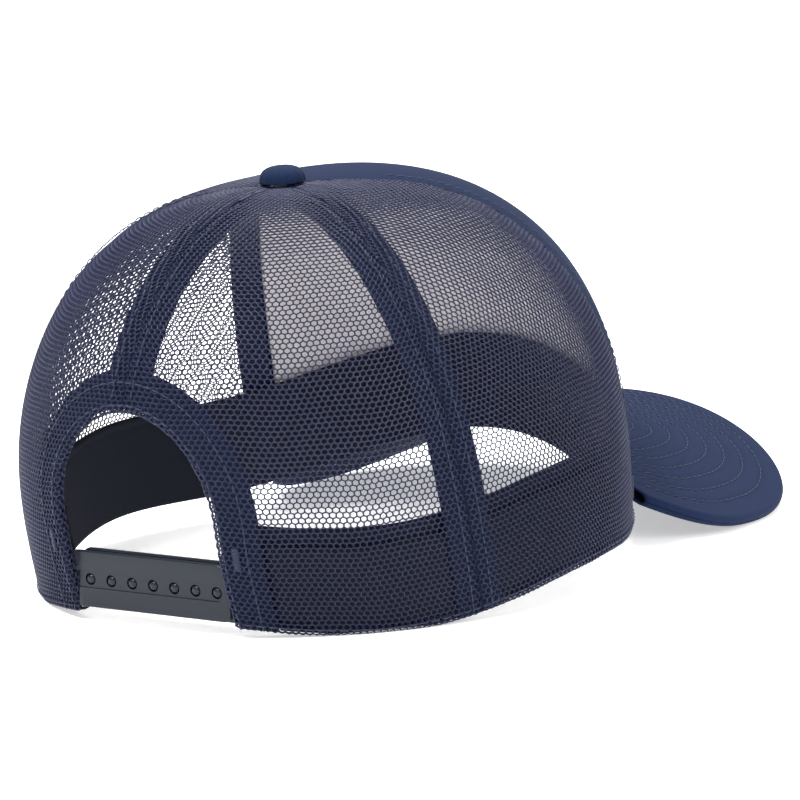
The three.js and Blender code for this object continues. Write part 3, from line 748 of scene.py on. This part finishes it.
front_panel()
front_backing()
BACK_TAPE_FOOT = (OPENING_HEIGHT + BACK_TAPE_CLEARANCE) / CROWN_HEIGHT
seam_tape("back_seam_tape", "tape_back", 0, TAPE_WIDTH, BACK_TAPE_FOOT)
for place, seam, width in (("side", SIDE_SEAM, TAPE_WIDTH), ("front", FRONT_SEAM, FRONT_TAPE_WIDTH)):
    for hand, sign in HANDS:
        seam_tape(f"{place}_seam_tape_{hand}", f"tape_{place}_{hand}", sign * seam, width)
opening_tape()
sweatband()
for hand, sign in HANDS:
    sweatband_lining(f"sweatband_strip_{hand}", f"sweatband_lining_{hand}", sign)

# ---- Brim -------------------------------------------------------------------------------------------

BRIM_HALF_WIDTH = 84
BRIM_WIDEST_Y = -104
BRIM_REACH = 72
BRIM_BACK_REACH = 55
BRIM_SQUARENESS = 2.4
BRIM_BEND_RADIUS = 125
BRIM_SLOPE = 0.14
BRIM_ROOT_HEIGHT = 12
BRIM_END_ANGLE = 128
BRIM_ROOT_ANGLE = 43
BRIM_HALF_THICKNESS = 2.0
COVER_THICKNESS = 0.65
RIM_RADIUS = 1.8
STITCH_ROWS = 8
FIRST_STITCH_ROW = 7.5
STITCH_ROW_PITCH = 5.6
STITCH_GROOVE = 0.3


def brim_surface(plan, lift):
    """Row-frame points of the brim above or below a plan, by a lift in mm."""
    x, y = plan[..., 0], plan[..., 1]
    height = BRIM_ROOT_HEIGHT - x**2 / (2 * BRIM_BEND_RADIUS) + BRIM_SLOPE * (y + FRONT_LENGTH)
    normal = unit(np.stack([x / BRIM_BEND_RADIUS, np.full(x.shape, -BRIM_SLOPE), np.ones(x.shape)], -1))
    point = np.stack([x, y, height], -1)
    return press_flat(to_row(point + np.asarray(lift)[..., None] * normal))


def brim_root(angle):
    """Plan of the line where the brim meets the crown, at angles round the crown."""
    foot = crown_surface(angle, np.zeros(angle.shape))
    height = BRIM_ROOT_HEIGHT - foot[:, 0] ** 2 / (2 * BRIM_BEND_RADIUS)
    up = np.maximum(height + BRIM_HALF_THICKNESS + 1 - foot[:, 2], 0)
    wall = crown_surface(angle, up / (CROWN_HEIGHT - foot[:, 2]))[:, :2]
    return wall * (1 + 0.8 / np.linalg.norm(wall, axis=1, keepdims=True))


def brim_edge(share):
    """Plan of the brim's outer edge, from -1 at the wearer's left end to 1 at the right."""
    angle = np.radians(BRIM_END_ANGLE * share)
    across = np.abs(np.sin(angle)) ** (2 / BRIM_SQUARENESS)
    along = np.abs(np.cos(angle)) ** (2 / BRIM_SQUARENESS)
    reach = np.where(np.cos(angle) > 0, BRIM_REACH, -BRIM_BACK_REACH)
    return np.stack([-np.sign(angle) * BRIM_HALF_WIDTH * across, BRIM_WIDEST_Y - reach * along], -1)


BRIM_EDGE = brim_edge(np.linspace(-1, 1, 1200))


def from_brim_edge(plan):
    """Distance of plan points from the brim's outer edge."""
    points = plan.reshape(-1, 2)
    distance = np.full(len(points), np.inf)
    for start in range(0, len(BRIM_EDGE), 100):
        edge = BRIM_EDGE[start : start + 100]
        gaps = np.linalg.norm(points[:, None] - edge[None], axis=-1)
        distance = np.minimum(distance, gaps.min(axis=1))
    return distance.reshape(plan.shape[:-1])


def groove(distance):
    """How far the stitching pulls the cloth in, at distances from the brim's edge."""
    depth = np.zeros(distance.shape)
    for row in range(STITCH_ROWS):
        depth += np.exp(-(((distance - FIRST_STITCH_ROW - row * STITCH_ROW_PITCH) / 0.9) ** 2))
    return STITCH_GROOVE * depth


def brim_cover(name, node, side):
    """The cloth over one side of the brim, turned over its rim. side is 1 above and -1 below."""
    shares = np.linspace(-1, 1, 170)
    root = brim_root(np.pi - np.radians(BRIM_ROOT_ANGLE) * shares)
    edge = brim_edge(shares)
    width = np.linalg.norm(edge - root, axis=1)
    turn = np.linspace(0, 0.5 * np.pi, 8)
    inner_part = np.linspace(0, 1, 105)[:-1, None] * np.maximum(width - RIM_RADIUS, 0)
    rim_part = width - RIM_RADIUS * (1 - np.sin(turn))[:, None]
    reached = np.concatenate([inner_part, np.maximum(rim_part, 0)]) / np.maximum(width, 1e-6)
    lift_share = np.concatenate([np.ones(len(inner_part)), np.cos(turn)])[:, None]
    plan = root + reached[..., None] * (edge - root)
    lift = 0.1 + (BRIM_HALF_THICKNESS - 0.1 - groove(from_brim_edge(plan))) * lift_share
    inward = 1 - COVER_THICKNESS / np.maximum(width, 4)
    inner_plan = root + (reached * inward)[..., None] * (edge - root)
    inner_lift = np.maximum((BRIM_HALF_THICKNESS - COVER_THICKNESS) * lift_share, 0.1)
    outer = brim_surface(plan, side * lift)
    inner = brim_surface(inner_plan, side * inner_lift * np.ones(lift.shape))
    flat = plan * MM
    made = sheet_piece(name, outer, inner, flat, TWILL)
    declare([node])


def brim_board():
    """The stiff sheet between the two covers."""
    shares = np.linspace(-0.9, 0.9, 100)
    root = brim_root(np.pi - np.radians(BRIM_ROOT_ANGLE) * shares)
    edge = brim_edge(shares)
    reached = np.linspace(0, 1, 24)[:, None] * (1 - 2.4 / np.linalg.norm(edge - root, axis=1))
    plan = root + reached[..., None] * (edge - root)
    outer, inner = (brim_surface(plan, np.full(reached.shape, lift)) for lift in (1.0, -1.0))
    made = sheet_piece("brim_stiffener", outer, inner, plan * MM, BOARD)
    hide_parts("brim_board")


brim_cover("brim_top_twill", "brim_top_cover", 1)
brim_cover("brim_under_twill", "brim_under_cover", -1)
brim_board()

# ---- Stitches ---------------------------------------------------------------------------------------

THREAD_RADIUS = 0.2
STITCH = (2.4, 0.6)
LONG_STITCH = (2.6, 0.7)
SEAM_ROW_DISTANCE = 3.2
FRONT_ROW_DISTANCE = 2.6
BAR_STITCHES = 16
BAR_PITCH = 0.42
BAR_HALF_WIDTH = 1.1


def stitch_row(points, normals, length, gap):
    """Vertices and quads of stitches along a line: thin spindles that dip in at their ends."""
    run = np.concatenate([[0], np.cumsum(np.linalg.norm(np.diff(points, axis=0), axis=1))]) / MM
    count = int(run[-1] // (length + gap))
    if count < 1:
        return np.zeros((0, 3)), np.zeros((0, 4), int)
    starts = (np.arange(count) + 0.5) * run[-1] / count - length / 2
    stations = np.array([0, 0.12, 0.35, 0.65, 0.88, 1])
    lifts = THREAD_RADIUS * np.array([-1.0, 0.0, 0.7, 0.7, 0.0, -1.0])
    widths = THREAD_RADIUS * np.array([0.35, 0.85, 1.0, 1.0, 0.85, 0.35])
    at = starts[:, None] + length * stations
    place = np.stack([np.interp(at, run, points[:, k]) for k in range(3)], -1)
    normal = unit(np.stack([np.interp(at, run, normals[:, k]) for k in range(3)], -1))
    forward = unit(np.gradient(place, axis=1))
    side = np.cross(forward, normal)
    turns = np.arange(6) * np.pi / 3
    ring = side[:, :, None] * np.cos(turns)[:, None] + normal[:, :, None] * np.sin(turns)[:, None]
    points_out = (place + MM * lifts[:, None] * normal)[:, :, None] + MM * widths[:, None, None] * ring
    at = np.arange(points_out[..., 0].size).reshape(points_out.shape[:3])
    around = np.roll(at, -1, axis=2)
    quads = np.stack([at[:, :-1], around[:, :-1], around[:, 1:], at[:, 1:]], -1).reshape(-1, 4)
    caps = [at[:, 0, [0, 1, 2, 3]], at[:, 0, [0, 3, 4, 5]]]
    caps += [at[:, -1, [3, 2, 1, 0]], at[:, -1, [5, 4, 3, 0]]]
    return points_out.reshape(-1, 3), np.concatenate([quads, *caps])


def stitching(name, rows):
    """One piece from many rows of stitches, each given as (points, normals, length, gap)."""
    vertices, faces, count = [], [], 0
    for row in rows:
        made, quads = stitch_row(*row)
        vertices.append(made)
        faces.append(quads + count)
        count += len(made)
    made = piece(name, np.concatenate(vertices), np.concatenate(faces), THREAD)
    return made


def up_the_crown(angle, low, high, offset, count=160):
    """A line of points and normals up the crown at angles that may differ along it."""
    rise = rises_between(low, high, count)
    angle = np.broadcast_to(angle(rise) if callable(angle) else angle, rise.shape)
    return on_crown(angle, rise, np.full(count, offset)), to_row_direction(crown_normal(angle, rise))


def beside(centre, distance):
    """The angle that stays a distance to one side of a seam, as a function of rise."""

    def angle(rise):
        middle = crown_surface(np.full(rise.shape, centre), rise)
        radius = np.hypot(middle[:, 0], middle[:, 1] - POLE_SHIFT * rise)
        return centre + np.arcsin(np.clip(distance / radius, -0.9, 0.9))

    return angle


def brim_stitches(side):
    """The rows of stitches parallel to the brim's edge, where they are clear of the crown."""
    rows = []
    along = unit(np.gradient(BRIM_EDGE, axis=0))
    inward = np.stack([along[:, 1], -along[:, 0]], -1)
    if inward[len(inward) // 2, 1] < 0:
        inward = -inward
    for row in range(STITCH_ROWS):
        plan = BRIM_EDGE + (FIRST_STITCH_ROW + row * STITCH_ROW_PITCH) * inward
        angle = np.arctan2(-plan[:, 0], plan[:, 1]) % (2 * np.pi)
        wall = np.linalg.norm(brim_root(angle), axis=1)
        clear = np.linalg.norm(plan, axis=1) > wall + 0.6
        clear &= from_brim_edge(plan) > FIRST_STITCH_ROW + row * STITCH_ROW_PITCH - 0.4
        plan = plan[clear]
        lift = np.full(len(plan), side * (BRIM_HALF_THICKNESS - STITCH_GROOVE + 0.08))
        points = brim_surface(plan, lift)
        deeper = brim_surface(plan, lift - side)
        rows.append((points, unit(points - deeper), *LONG_STITCH))
    return rows


def seam_stitches():
    """Twin rows beside the mesh seams and one row inside each front seam."""
    rows = []
    for degrees in (0, SIDE_SEAM, -SIDE_SEAM):
        low = (OPENING_HEIGHT + 3) / CROWN_HEIGHT if degrees == 0 else 0.01
        for distance in (-SEAM_ROW_DISTANCE, SEAM_ROW_DISTANCE):
            line = up_the_crown(beside(math.radians(degrees), distance), low, 0.985, 0.15)
            rows.append((*line, *STITCH))
    for _, sign in HANDS:
        inside = beside(math.radians(sign * FRONT_SEAM), sign * FRONT_ROW_DISTANCE)
        line = up_the_crown(inside, 0.01, 0.985, 0.15)
        rows.append((*line, *STITCH))
    return rows


def opening_stitches():
    """Two rows round the opening, through the mesh, its tape and its flap."""
    rows = []
    for margin in (1.6, 7.4):
        x, z = along_arch(margin, 200, foot=-3.0)
        _, angle, rise = wall_y(x, z)
        points = on_crown(angle, rise, np.full(x.shape, 0.15))
        rows.append((points, to_row_direction(crown_normal(angle, rise)), *STITCH))
    return rows


def hem_stitches():
    """The row that holds the sweatband to the hem, clear of the opening."""
    start = math.asin((OPENING_HALF_WIDTH + 3) / BACK_LENGTH)
    angle = np.linspace(start, 2 * np.pi - start, 700)
    rise = 2.2 / (CROWN_HEIGHT - hem_height(angle))
    points = on_crown(angle, rise, np.full(angle.shape, 0.2))
    return [(points, to_row_direction(crown_normal(angle, rise)), *LONG_STITCH)]


def bar_tacks():
    """Short dense bars of thread at the brim's ends and beside the feet of the opening."""
    foot = math.asin((OPENING_HALF_WIDTH + 4.5) / BACK_LENGTH)
    front = math.radians(FRONT_SEAM - 2.5)
    rows = []
    for centre, height in ((front, 6), (-front, 6), (foot, 19), (-foot, 19)):
        for step in range(BAR_STITCHES):
            angle = centre + np.linspace(-1, 1, 5) * BAR_HALF_WIDTH / HALF_WIDTH
            rise = (height + step * BAR_PITCH) / (CROWN_HEIGHT - hem_height(angle))
            points = on_crown(angle, rise, np.full(5, 0.3))
            rows.append((points, to_row_direction(crown_normal(angle, rise)), 1.9 * BAR_HALF_WIDTH, 0))
    return rows


stitching("brim_top_stitches", brim_stitches(1))
stitching("brim_under_stitches", brim_stitches(-1))
stitching("seam_stitches", seam_stitches())
stitching("opening_stitches", opening_stitches())
stitching("hem_stitches", hem_stitches())
stitching("bar_tacks", bar_tacks())

# ---- Button -----------------------------------------------------------------------------------------

BUTTON_RADIUS = 6.8
BUTTON_BOTTOM = 0.3
BUTTON_CLOTH = 0.7
PLEATS = 14


def button_cloth():
    """Cloth drawn over the button: a flat-topped dome, pleated where it is gathered at the bottom."""
    turn, around = np.meshgrid(np.linspace(0, 1, 40), np.linspace(0, 2 * np.pi, 121), indexing="ij")
    bend = 0.5 * np.pi * turn
    out = np.sin(bend) ** (2 / 3.0)
    up = np.cos(bend) ** (2 / 2.6)
    pleat = 1 + 0.022 * np.cos(PLEATS * around + np.sin(3 * around)) * out**6
    pleat += 0.010 * np.cos(5 * around + 1.0) * out**3

    def dome(shrink):
        radius = (BUTTON_RADIUS - 0.15 - shrink) * out * pleat
        height = BUTTON_BOTTOM + (BUTTON_HEIGHT - BUTTON_BOTTOM - shrink) * up
        place = [radius * np.cos(around), POLE_SHIFT + radius * np.sin(around), CROWN_HEIGHT + height]
        return to_row(np.stack(place, -1))

    steps = np.hypot(np.diff(BUTTON_RADIUS * out[:, 0]), np.diff(BUTTON_HEIGHT * up[:, 0]))
    cut_radius = np.concatenate([[0], np.cumsum(steps)])[:, None]
    flat = np.stack([cut_radius * np.cos(around), cut_radius * np.sin(around)], -1) * MM
    made = sheet_piece("button_twill", dome(0), dome(BUTTON_CLOTH), flat, TWILL)
    weld(made, 0.00001)
    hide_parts("button_cover")


def weld(made, distance):
    """Joins a grid that closes on itself, and drops the walls left inside the joint."""
    work = bmesh.new()
    work.from_mesh(made.data)
    bmesh.ops.remove_doubles(work, verts=work.verts, dist=distance)
    inside = {edge for edge in work.edges if len(edge.link_faces) > 2}
    walls = [face for face in work.faces if sum(edge in inside for edge in face.edges) >= 2]
    bmesh.ops.delete(work, geom=walls, context="FACES_ONLY")
    loose = [edge for edge in work.edges if not edge.link_faces]
    bmesh.ops.delete(work, geom=loose, context="EDGES")
    bmesh.ops.recalc_face_normals(work, faces=work.faces)
    work.to_mesh(made.data)
    work.free()
    made.data.shade_smooth()


button_cloth()
for node in ("button_shell", "button_rivet"):
    frame["nodes"][node].data.materials.clear()
    frame["nodes"][node].data.materials.append(STEEL)

# ---- Snap strap -------------------------------------------------------------------------------------

STRAP_ROOT_X = 26.2
TAB_LENGTH = 9
TAB_THICKNESS = 0.8
STRAP_MIDDLE_Z = 8.3
OUTER_HEIGHT, OUTER_THICKNESS, OUTER_TAB_OFFSET = 16.5, 1.5, -2.3
INNER_HEIGHT, INNER_THICKNESS, INNER_TAB_OFFSET = 17.5, 1.2, -3.4
STRAP_END_GAP = 0.9
SNAP_COUNT, SNAP_PITCH, FIRST_SNAP_X = 7, 7.3, 22
HOLE_RADIUS, POST_RADIUS = 1.75, 1.3
CHANNEL_HALF_HEIGHT, CHANNEL_DEPTH = 2.5, 0.35
SNAPS = [FIRST_SNAP_X - k * SNAP_PITCH for k in range(SNAP_COUNT)]
BEND_STEP = 0.75


def rounded_outline(root, end, height, top_radius, low_radius):
    """The outline of a band in x and z, from its root to a free end with rounded corners."""
    toward = math.copysign(1, end - root)
    half = height / 2
    points = [(root, half), (root, -half)]
    for radius, side in ((low_radius, -1), (top_radius, 1)):
        turns = np.linspace(0, 0.5 * np.pi, 9)
        x = end - toward * radius * (1 - np.sin(turns))
        z = side * (half - radius * (1 - np.cos(turns)))
        arc = list(zip(x, z))
        points += arc if side < 0 else arc[::-1]
    return points


def prism(outline, front, back):
    """A bmesh solid: an outline in x and z between two values of y."""
    work = bmesh.new()
    face = work.faces.new([work.verts.new((x, front, z)) for x, z in outline])
    made = bmesh.ops.extrude_face_region(work, geom=[face])
    moved = [v for v in made["geom"] if isinstance(v, bmesh.types.BMVert)]
    bmesh.ops.translate(work, verts=moved, vec=(0, back - front, 0))
    bmesh.ops.recalc_face_normals(work, faces=work.faces)
    return work


def solid_object(work, name):
    mesh = bpy.data.meshes.new(name)
    work.to_mesh(mesh)
    work.free()
    return linked(name, mesh)


def with_modifier(made, kind, **settings):
    """Applies one modifier to an object for good."""
    modifier = made.modifiers.new(kind, kind)
    for setting, value in settings.items():
        setattr(modifier, setting, value)
    bpy.context.view_layer.update()
    solid = made.evaluated_get(bpy.context.evaluated_depsgraph_get())
    mesh = bpy.data.meshes.new_from_object(solid)
    made.modifiers.clear()
    made.data = mesh
    return made


def rounded_edges(made, width):
    limit = math.radians(50)
    with_modifier(made, "BEVEL", width=width, segments=3, limit_method="ANGLE", angle_limit=limit)


def cut_away(made, work):
    """Takes a solid away from an object."""
    tool = solid_object(work, "cutter")
    with_modifier(made, "BOOLEAN", operation="DIFFERENCE", object=tool, solver="EXACT")
    bpy.data.objects.remove(tool)


def circle(x, z, radius, count):
    turns = np.arange(count) * 2 * np.pi / count
    return [(x + radius * math.cos(t), z + radius * math.sin(t)) for t in turns]


def channel_outline():
    """The long dip round the snap holes, open at the root and round past the last hole."""
    end = SNAPS[-1]
    turns = np.linspace(0.5 * np.pi, 1.5 * np.pi, 17)
    tip = [(end + CHANNEL_HALF_HEIGHT * math.cos(t), CHANNEL_HALF_HEIGHT * math.sin(t)) for t in turns]
    root = STRAP_ROOT_X + 1.5
    return [(root, CHANNEL_HALF_HEIGHT), *tip, (root, -CHANNEL_HALF_HEIGHT)]


def bend_tab(made, side, face_y, tab_offset, thickness):
    """Bends and thins the sewn end of a band along the wall, and puts the whole band in the row frame.

    Before it, the outer face of the band is at y = 0 and its thickness runs towards -y.
    """
    mesh = made.data
    points = np.zeros(len(mesh.vertices) * 3)
    mesh.vertices.foreach_get("co", points)
    points = points.reshape(-1, 3)
    x = np.abs(points[:, 0])
    place = np.stack([points[:, 0], points[:, 2] + STRAP_MIDDLE_Z], -1)
    y, angle, rise = wall_y(-side * np.maximum(x, STRAP_ROOT_X - 4), place[:, 1])
    wall = crown_surface(angle, rise) + tab_offset * crown_normal(angle, rise)
    share = np.clip((x - STRAP_ROOT_X + 0.4) / 2.6, 0, 1) * (side * points[:, 0] < 0)
    share = share**2 * (3 - 2 * share)
    depth = points[:, 1] * (1 + share * (TAB_THICKNESS / thickness - 1))
    points[:, 1] = (1 - share) * face_y + share * wall[:, 1] + depth
    points[:, 2] = place[:, 1]
    mesh.vertices.foreach_set("co", press_flat(to_row(points)).ravel())
    mesh.update()


def slice_along(work, start, end, step):
    """Adds cuts across a solid, so that it can bend."""
    for x in np.arange(start, end, step):
        geometry = work.verts[:] + work.edges[:] + work.faces[:]
        bmesh.ops.bisect_plane(work, geom=geometry, plane_co=(x, 0, 0), plane_no=(1, 0, 0))


def finish_band(made, name, side, tab_offset, thickness, body, nodes):
    """Bends a band at its root, and places its face by the joint between the crown and its own body."""
    joint = next(j for j in frame["joints"] if j["child"] == body)
    face_y = to_crown(joint["pos_m"])[1] + thickness / 2
    work = bmesh.new()
    work.from_mesh(made.data)
    ends = sorted((-side * (STRAP_ROOT_X - 2), -side * (STRAP_ROOT_X + TAB_LENGTH)))
    slice_along(work, ends[0], ends[1], BEND_STEP)
    work.to_mesh(made.data)
    work.free()
    bend_tab(made, side, face_y, tab_offset, thickness)
    made.name = name
    made.data.materials.clear()
    made.data.materials.append(STRAP)
    made.data.shade_smooth()
    made.data.set_sharp_from_angle(angle=math.radians(38))
    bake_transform(made)
    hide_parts(*nodes)


def outer_band():
    """The band with the holes, sewn in at the wearer's left."""
    root, end = STRAP_ROOT_X + TAB_LENGTH, STRAP_END_GAP - OPENING_HALF_WIDTH
    outline = rounded_outline(root, end, OUTER_HEIGHT, 4.5, 2.5)
    made = solid_object(prism(outline, 0, -OUTER_THICKNESS), "outer")
    rounded_edges(made, 0.35)
    cut_away(made, prism(channel_outline(), 1, -CHANNEL_DEPTH))
    for x in SNAPS:
        cut_away(made, prism(circle(x, 0, HOLE_RADIUS, 28), 1, -OUTER_THICKNESS - 1))
    nodes = ["strap_outer", "strap_outer_tab"]
    finish_band(made, "snap_band_outer", -1, OUTER_TAB_OFFSET, OUTER_THICKNESS, "outer_strap", nodes)


def snap_posts():
    """The domed posts of the inner band, as one bmesh; the band's outer face is at y = 0."""
    reach = OUTER_THICKNESS + 0.35
    profile = [(0.0, reach), (0.45, reach - 0.05), (0.8, reach - 0.2), (1.0, reach - 0.5), (1.0, -0.4)]
    work = bmesh.new()
    for x in SNAPS:
        rings = []
        for share, y in profile[1:]:
            ring = circle(x, 0, POST_RADIUS * share, 24)
            rings.append([work.verts.new((px, y, pz)) for px, pz in ring])
        top = work.verts.new((x, profile[0][1], 0))
        for a, b in zip(rings, rings[1:]):
            for k in range(24):
                work.faces.new((a[k - 1], a[k], b[k], b[k - 1]))
        for k in range(24):
            work.faces.new((top, rings[0][k], rings[0][k - 1]))
        work.faces.new(rings[-1])
    bmesh.ops.recalc_face_normals(work, faces=work.faces)
    return work


def inner_band():
    """The band with the posts, sewn in at the wearer's right, behind the outer band."""
    root, end = -STRAP_ROOT_X - TAB_LENGTH, OPENING_HALF_WIDTH - 2
    outline = rounded_outline(root, end, INNER_HEIGHT, 2.5, 2.5)
    made = solid_object(prism(outline, 0, -INNER_THICKNESS), "inner")
    rounded_edges(made, 0.3)
    posts = solid_object(snap_posts(), "posts")
    with_modifier(made, "BOOLEAN", operation="UNION", object=posts, solver="EXACT")
    bpy.data.objects.remove(posts)
    nodes = ["strap_inner", "strap_inner_tab"]
    finish_band(made, "snap_band_inner", 1, INNER_TAB_OFFSET, INNER_THICKNESS, "inner_strap", nodes)


outer_band()
inner_band()

# ---- Stage ------------------------------------------------------------------------------------------

MIDDLE = np.array((CAD_BOUNDS[0] + CAD_BOUNDS[1]) / 2)
SIZE = np.array(CAD_BOUNDS[1] - CAD_BOUNDS[0])
WORLD_STRENGTH = 0.8
CAMERA_AZIMUTH = 213.21
CAMERA_ELEVATION = 9.61
CAMERA_ROLL = -1.83
CAMERA_DISTANCE = 1.185
CAMERA_LENS = 175.2
CAMERA_TARGET = MIDDLE + MM * np.array([-2.2, 1.8, -16.1])


def floor():
    """A wide pale floor with a faint grain. It glows a little, as a light table does: painted light that
    keeps it white even where the cap shades it.
    """
    bpy.ops.mesh.primitive_plane_add(size=60 * float(SIZE[1]))
    made = bpy.context.object
    made.name = "floor"
    nodes = Nodes("pale_floor")
    grain = nodes.noise(0.02, 3)
    nodes.bump((grain, 0.00005))
    nodes.set(
        Base_Color=nodes.blend(grain, colour(0.93, 0.93, 0.93), colour(0.96, 0.96, 0.96)),
        Roughness=0.9,
        Specular_IOR_Level=0.1,
        # painted light: the floor glows so that the cap's shadow on it stays nearly white
        Emission_Color=colour(1, 1, 1),
        Emission_Strength=0.45,
    )
    made.data.materials.append(nodes.material)


def soft_light(name, azimuth, elevation, distance, size, power):
    """An area light aimed at the cap's middle, placed like a camera view."""
    data = bpy.data.lights.new(name, "AREA")
    data.shape = "DISK"
    data.size = size
    data.energy = power
    made = linked(name, data)
    back = Vector(away_from_middle(azimuth, elevation))
    made.location = Vector(MIDDLE) + distance * back
    made.rotation_mode = "QUATERNION"
    made.rotation_quaternion = back.to_track_quat("Z", "Y")


def away_from_middle(azimuth, elevation):
    a, e = math.radians(azimuth), math.radians(elevation)
    return np.array([math.sin(a) * math.cos(e), -math.cos(a) * math.cos(e), math.sin(e)])


def world():
    made = bpy.data.worlds.new("studio")
    bpy.context.scene.world = made
    made.use_nodes = True
    made.node_tree.nodes["Background"].inputs["Color"].default_value = colour(1, 1, 1)
    made.node_tree.nodes["Background"].inputs["Strength"].default_value = WORLD_STRENGTH


def camera():
    """A long lens from the wearer's right behind the cap, just above it."""
    back = away_from_middle(CAMERA_AZIMUTH, CAMERA_ELEVATION)
    level = unit(np.cross(-back, [0, 0, 1]))
    upright = np.cross(level, -back)
    roll = math.radians(CAMERA_ROLL)
    right = math.cos(roll) * level + math.sin(roll) * upright
    above = math.cos(roll) * upright - math.sin(roll) * level
    data = bpy.data.cameras.new("camera")
    data.lens = CAMERA_LENS
    made = linked("camera", data)
    place = CAMERA_TARGET + CAMERA_DISTANCE * back
    rows = [(right[k], above[k], back[k], place[k]) for k in range(3)]
    made.matrix_world = Matrix([*rows, (0, 0, 0, 1)])
    bpy.context.scene.camera = made


floor()
world()
soft_light("key", 175, 55, 1.6, 0.45, 26)
soft_light("fill", 265, 25, 1.6, 0.8, 10)
soft_light("top", 20, 70, 1.5, 0.9, 22)
camera()
bpy.context.scene.view_settings.view_transform = "Standard"
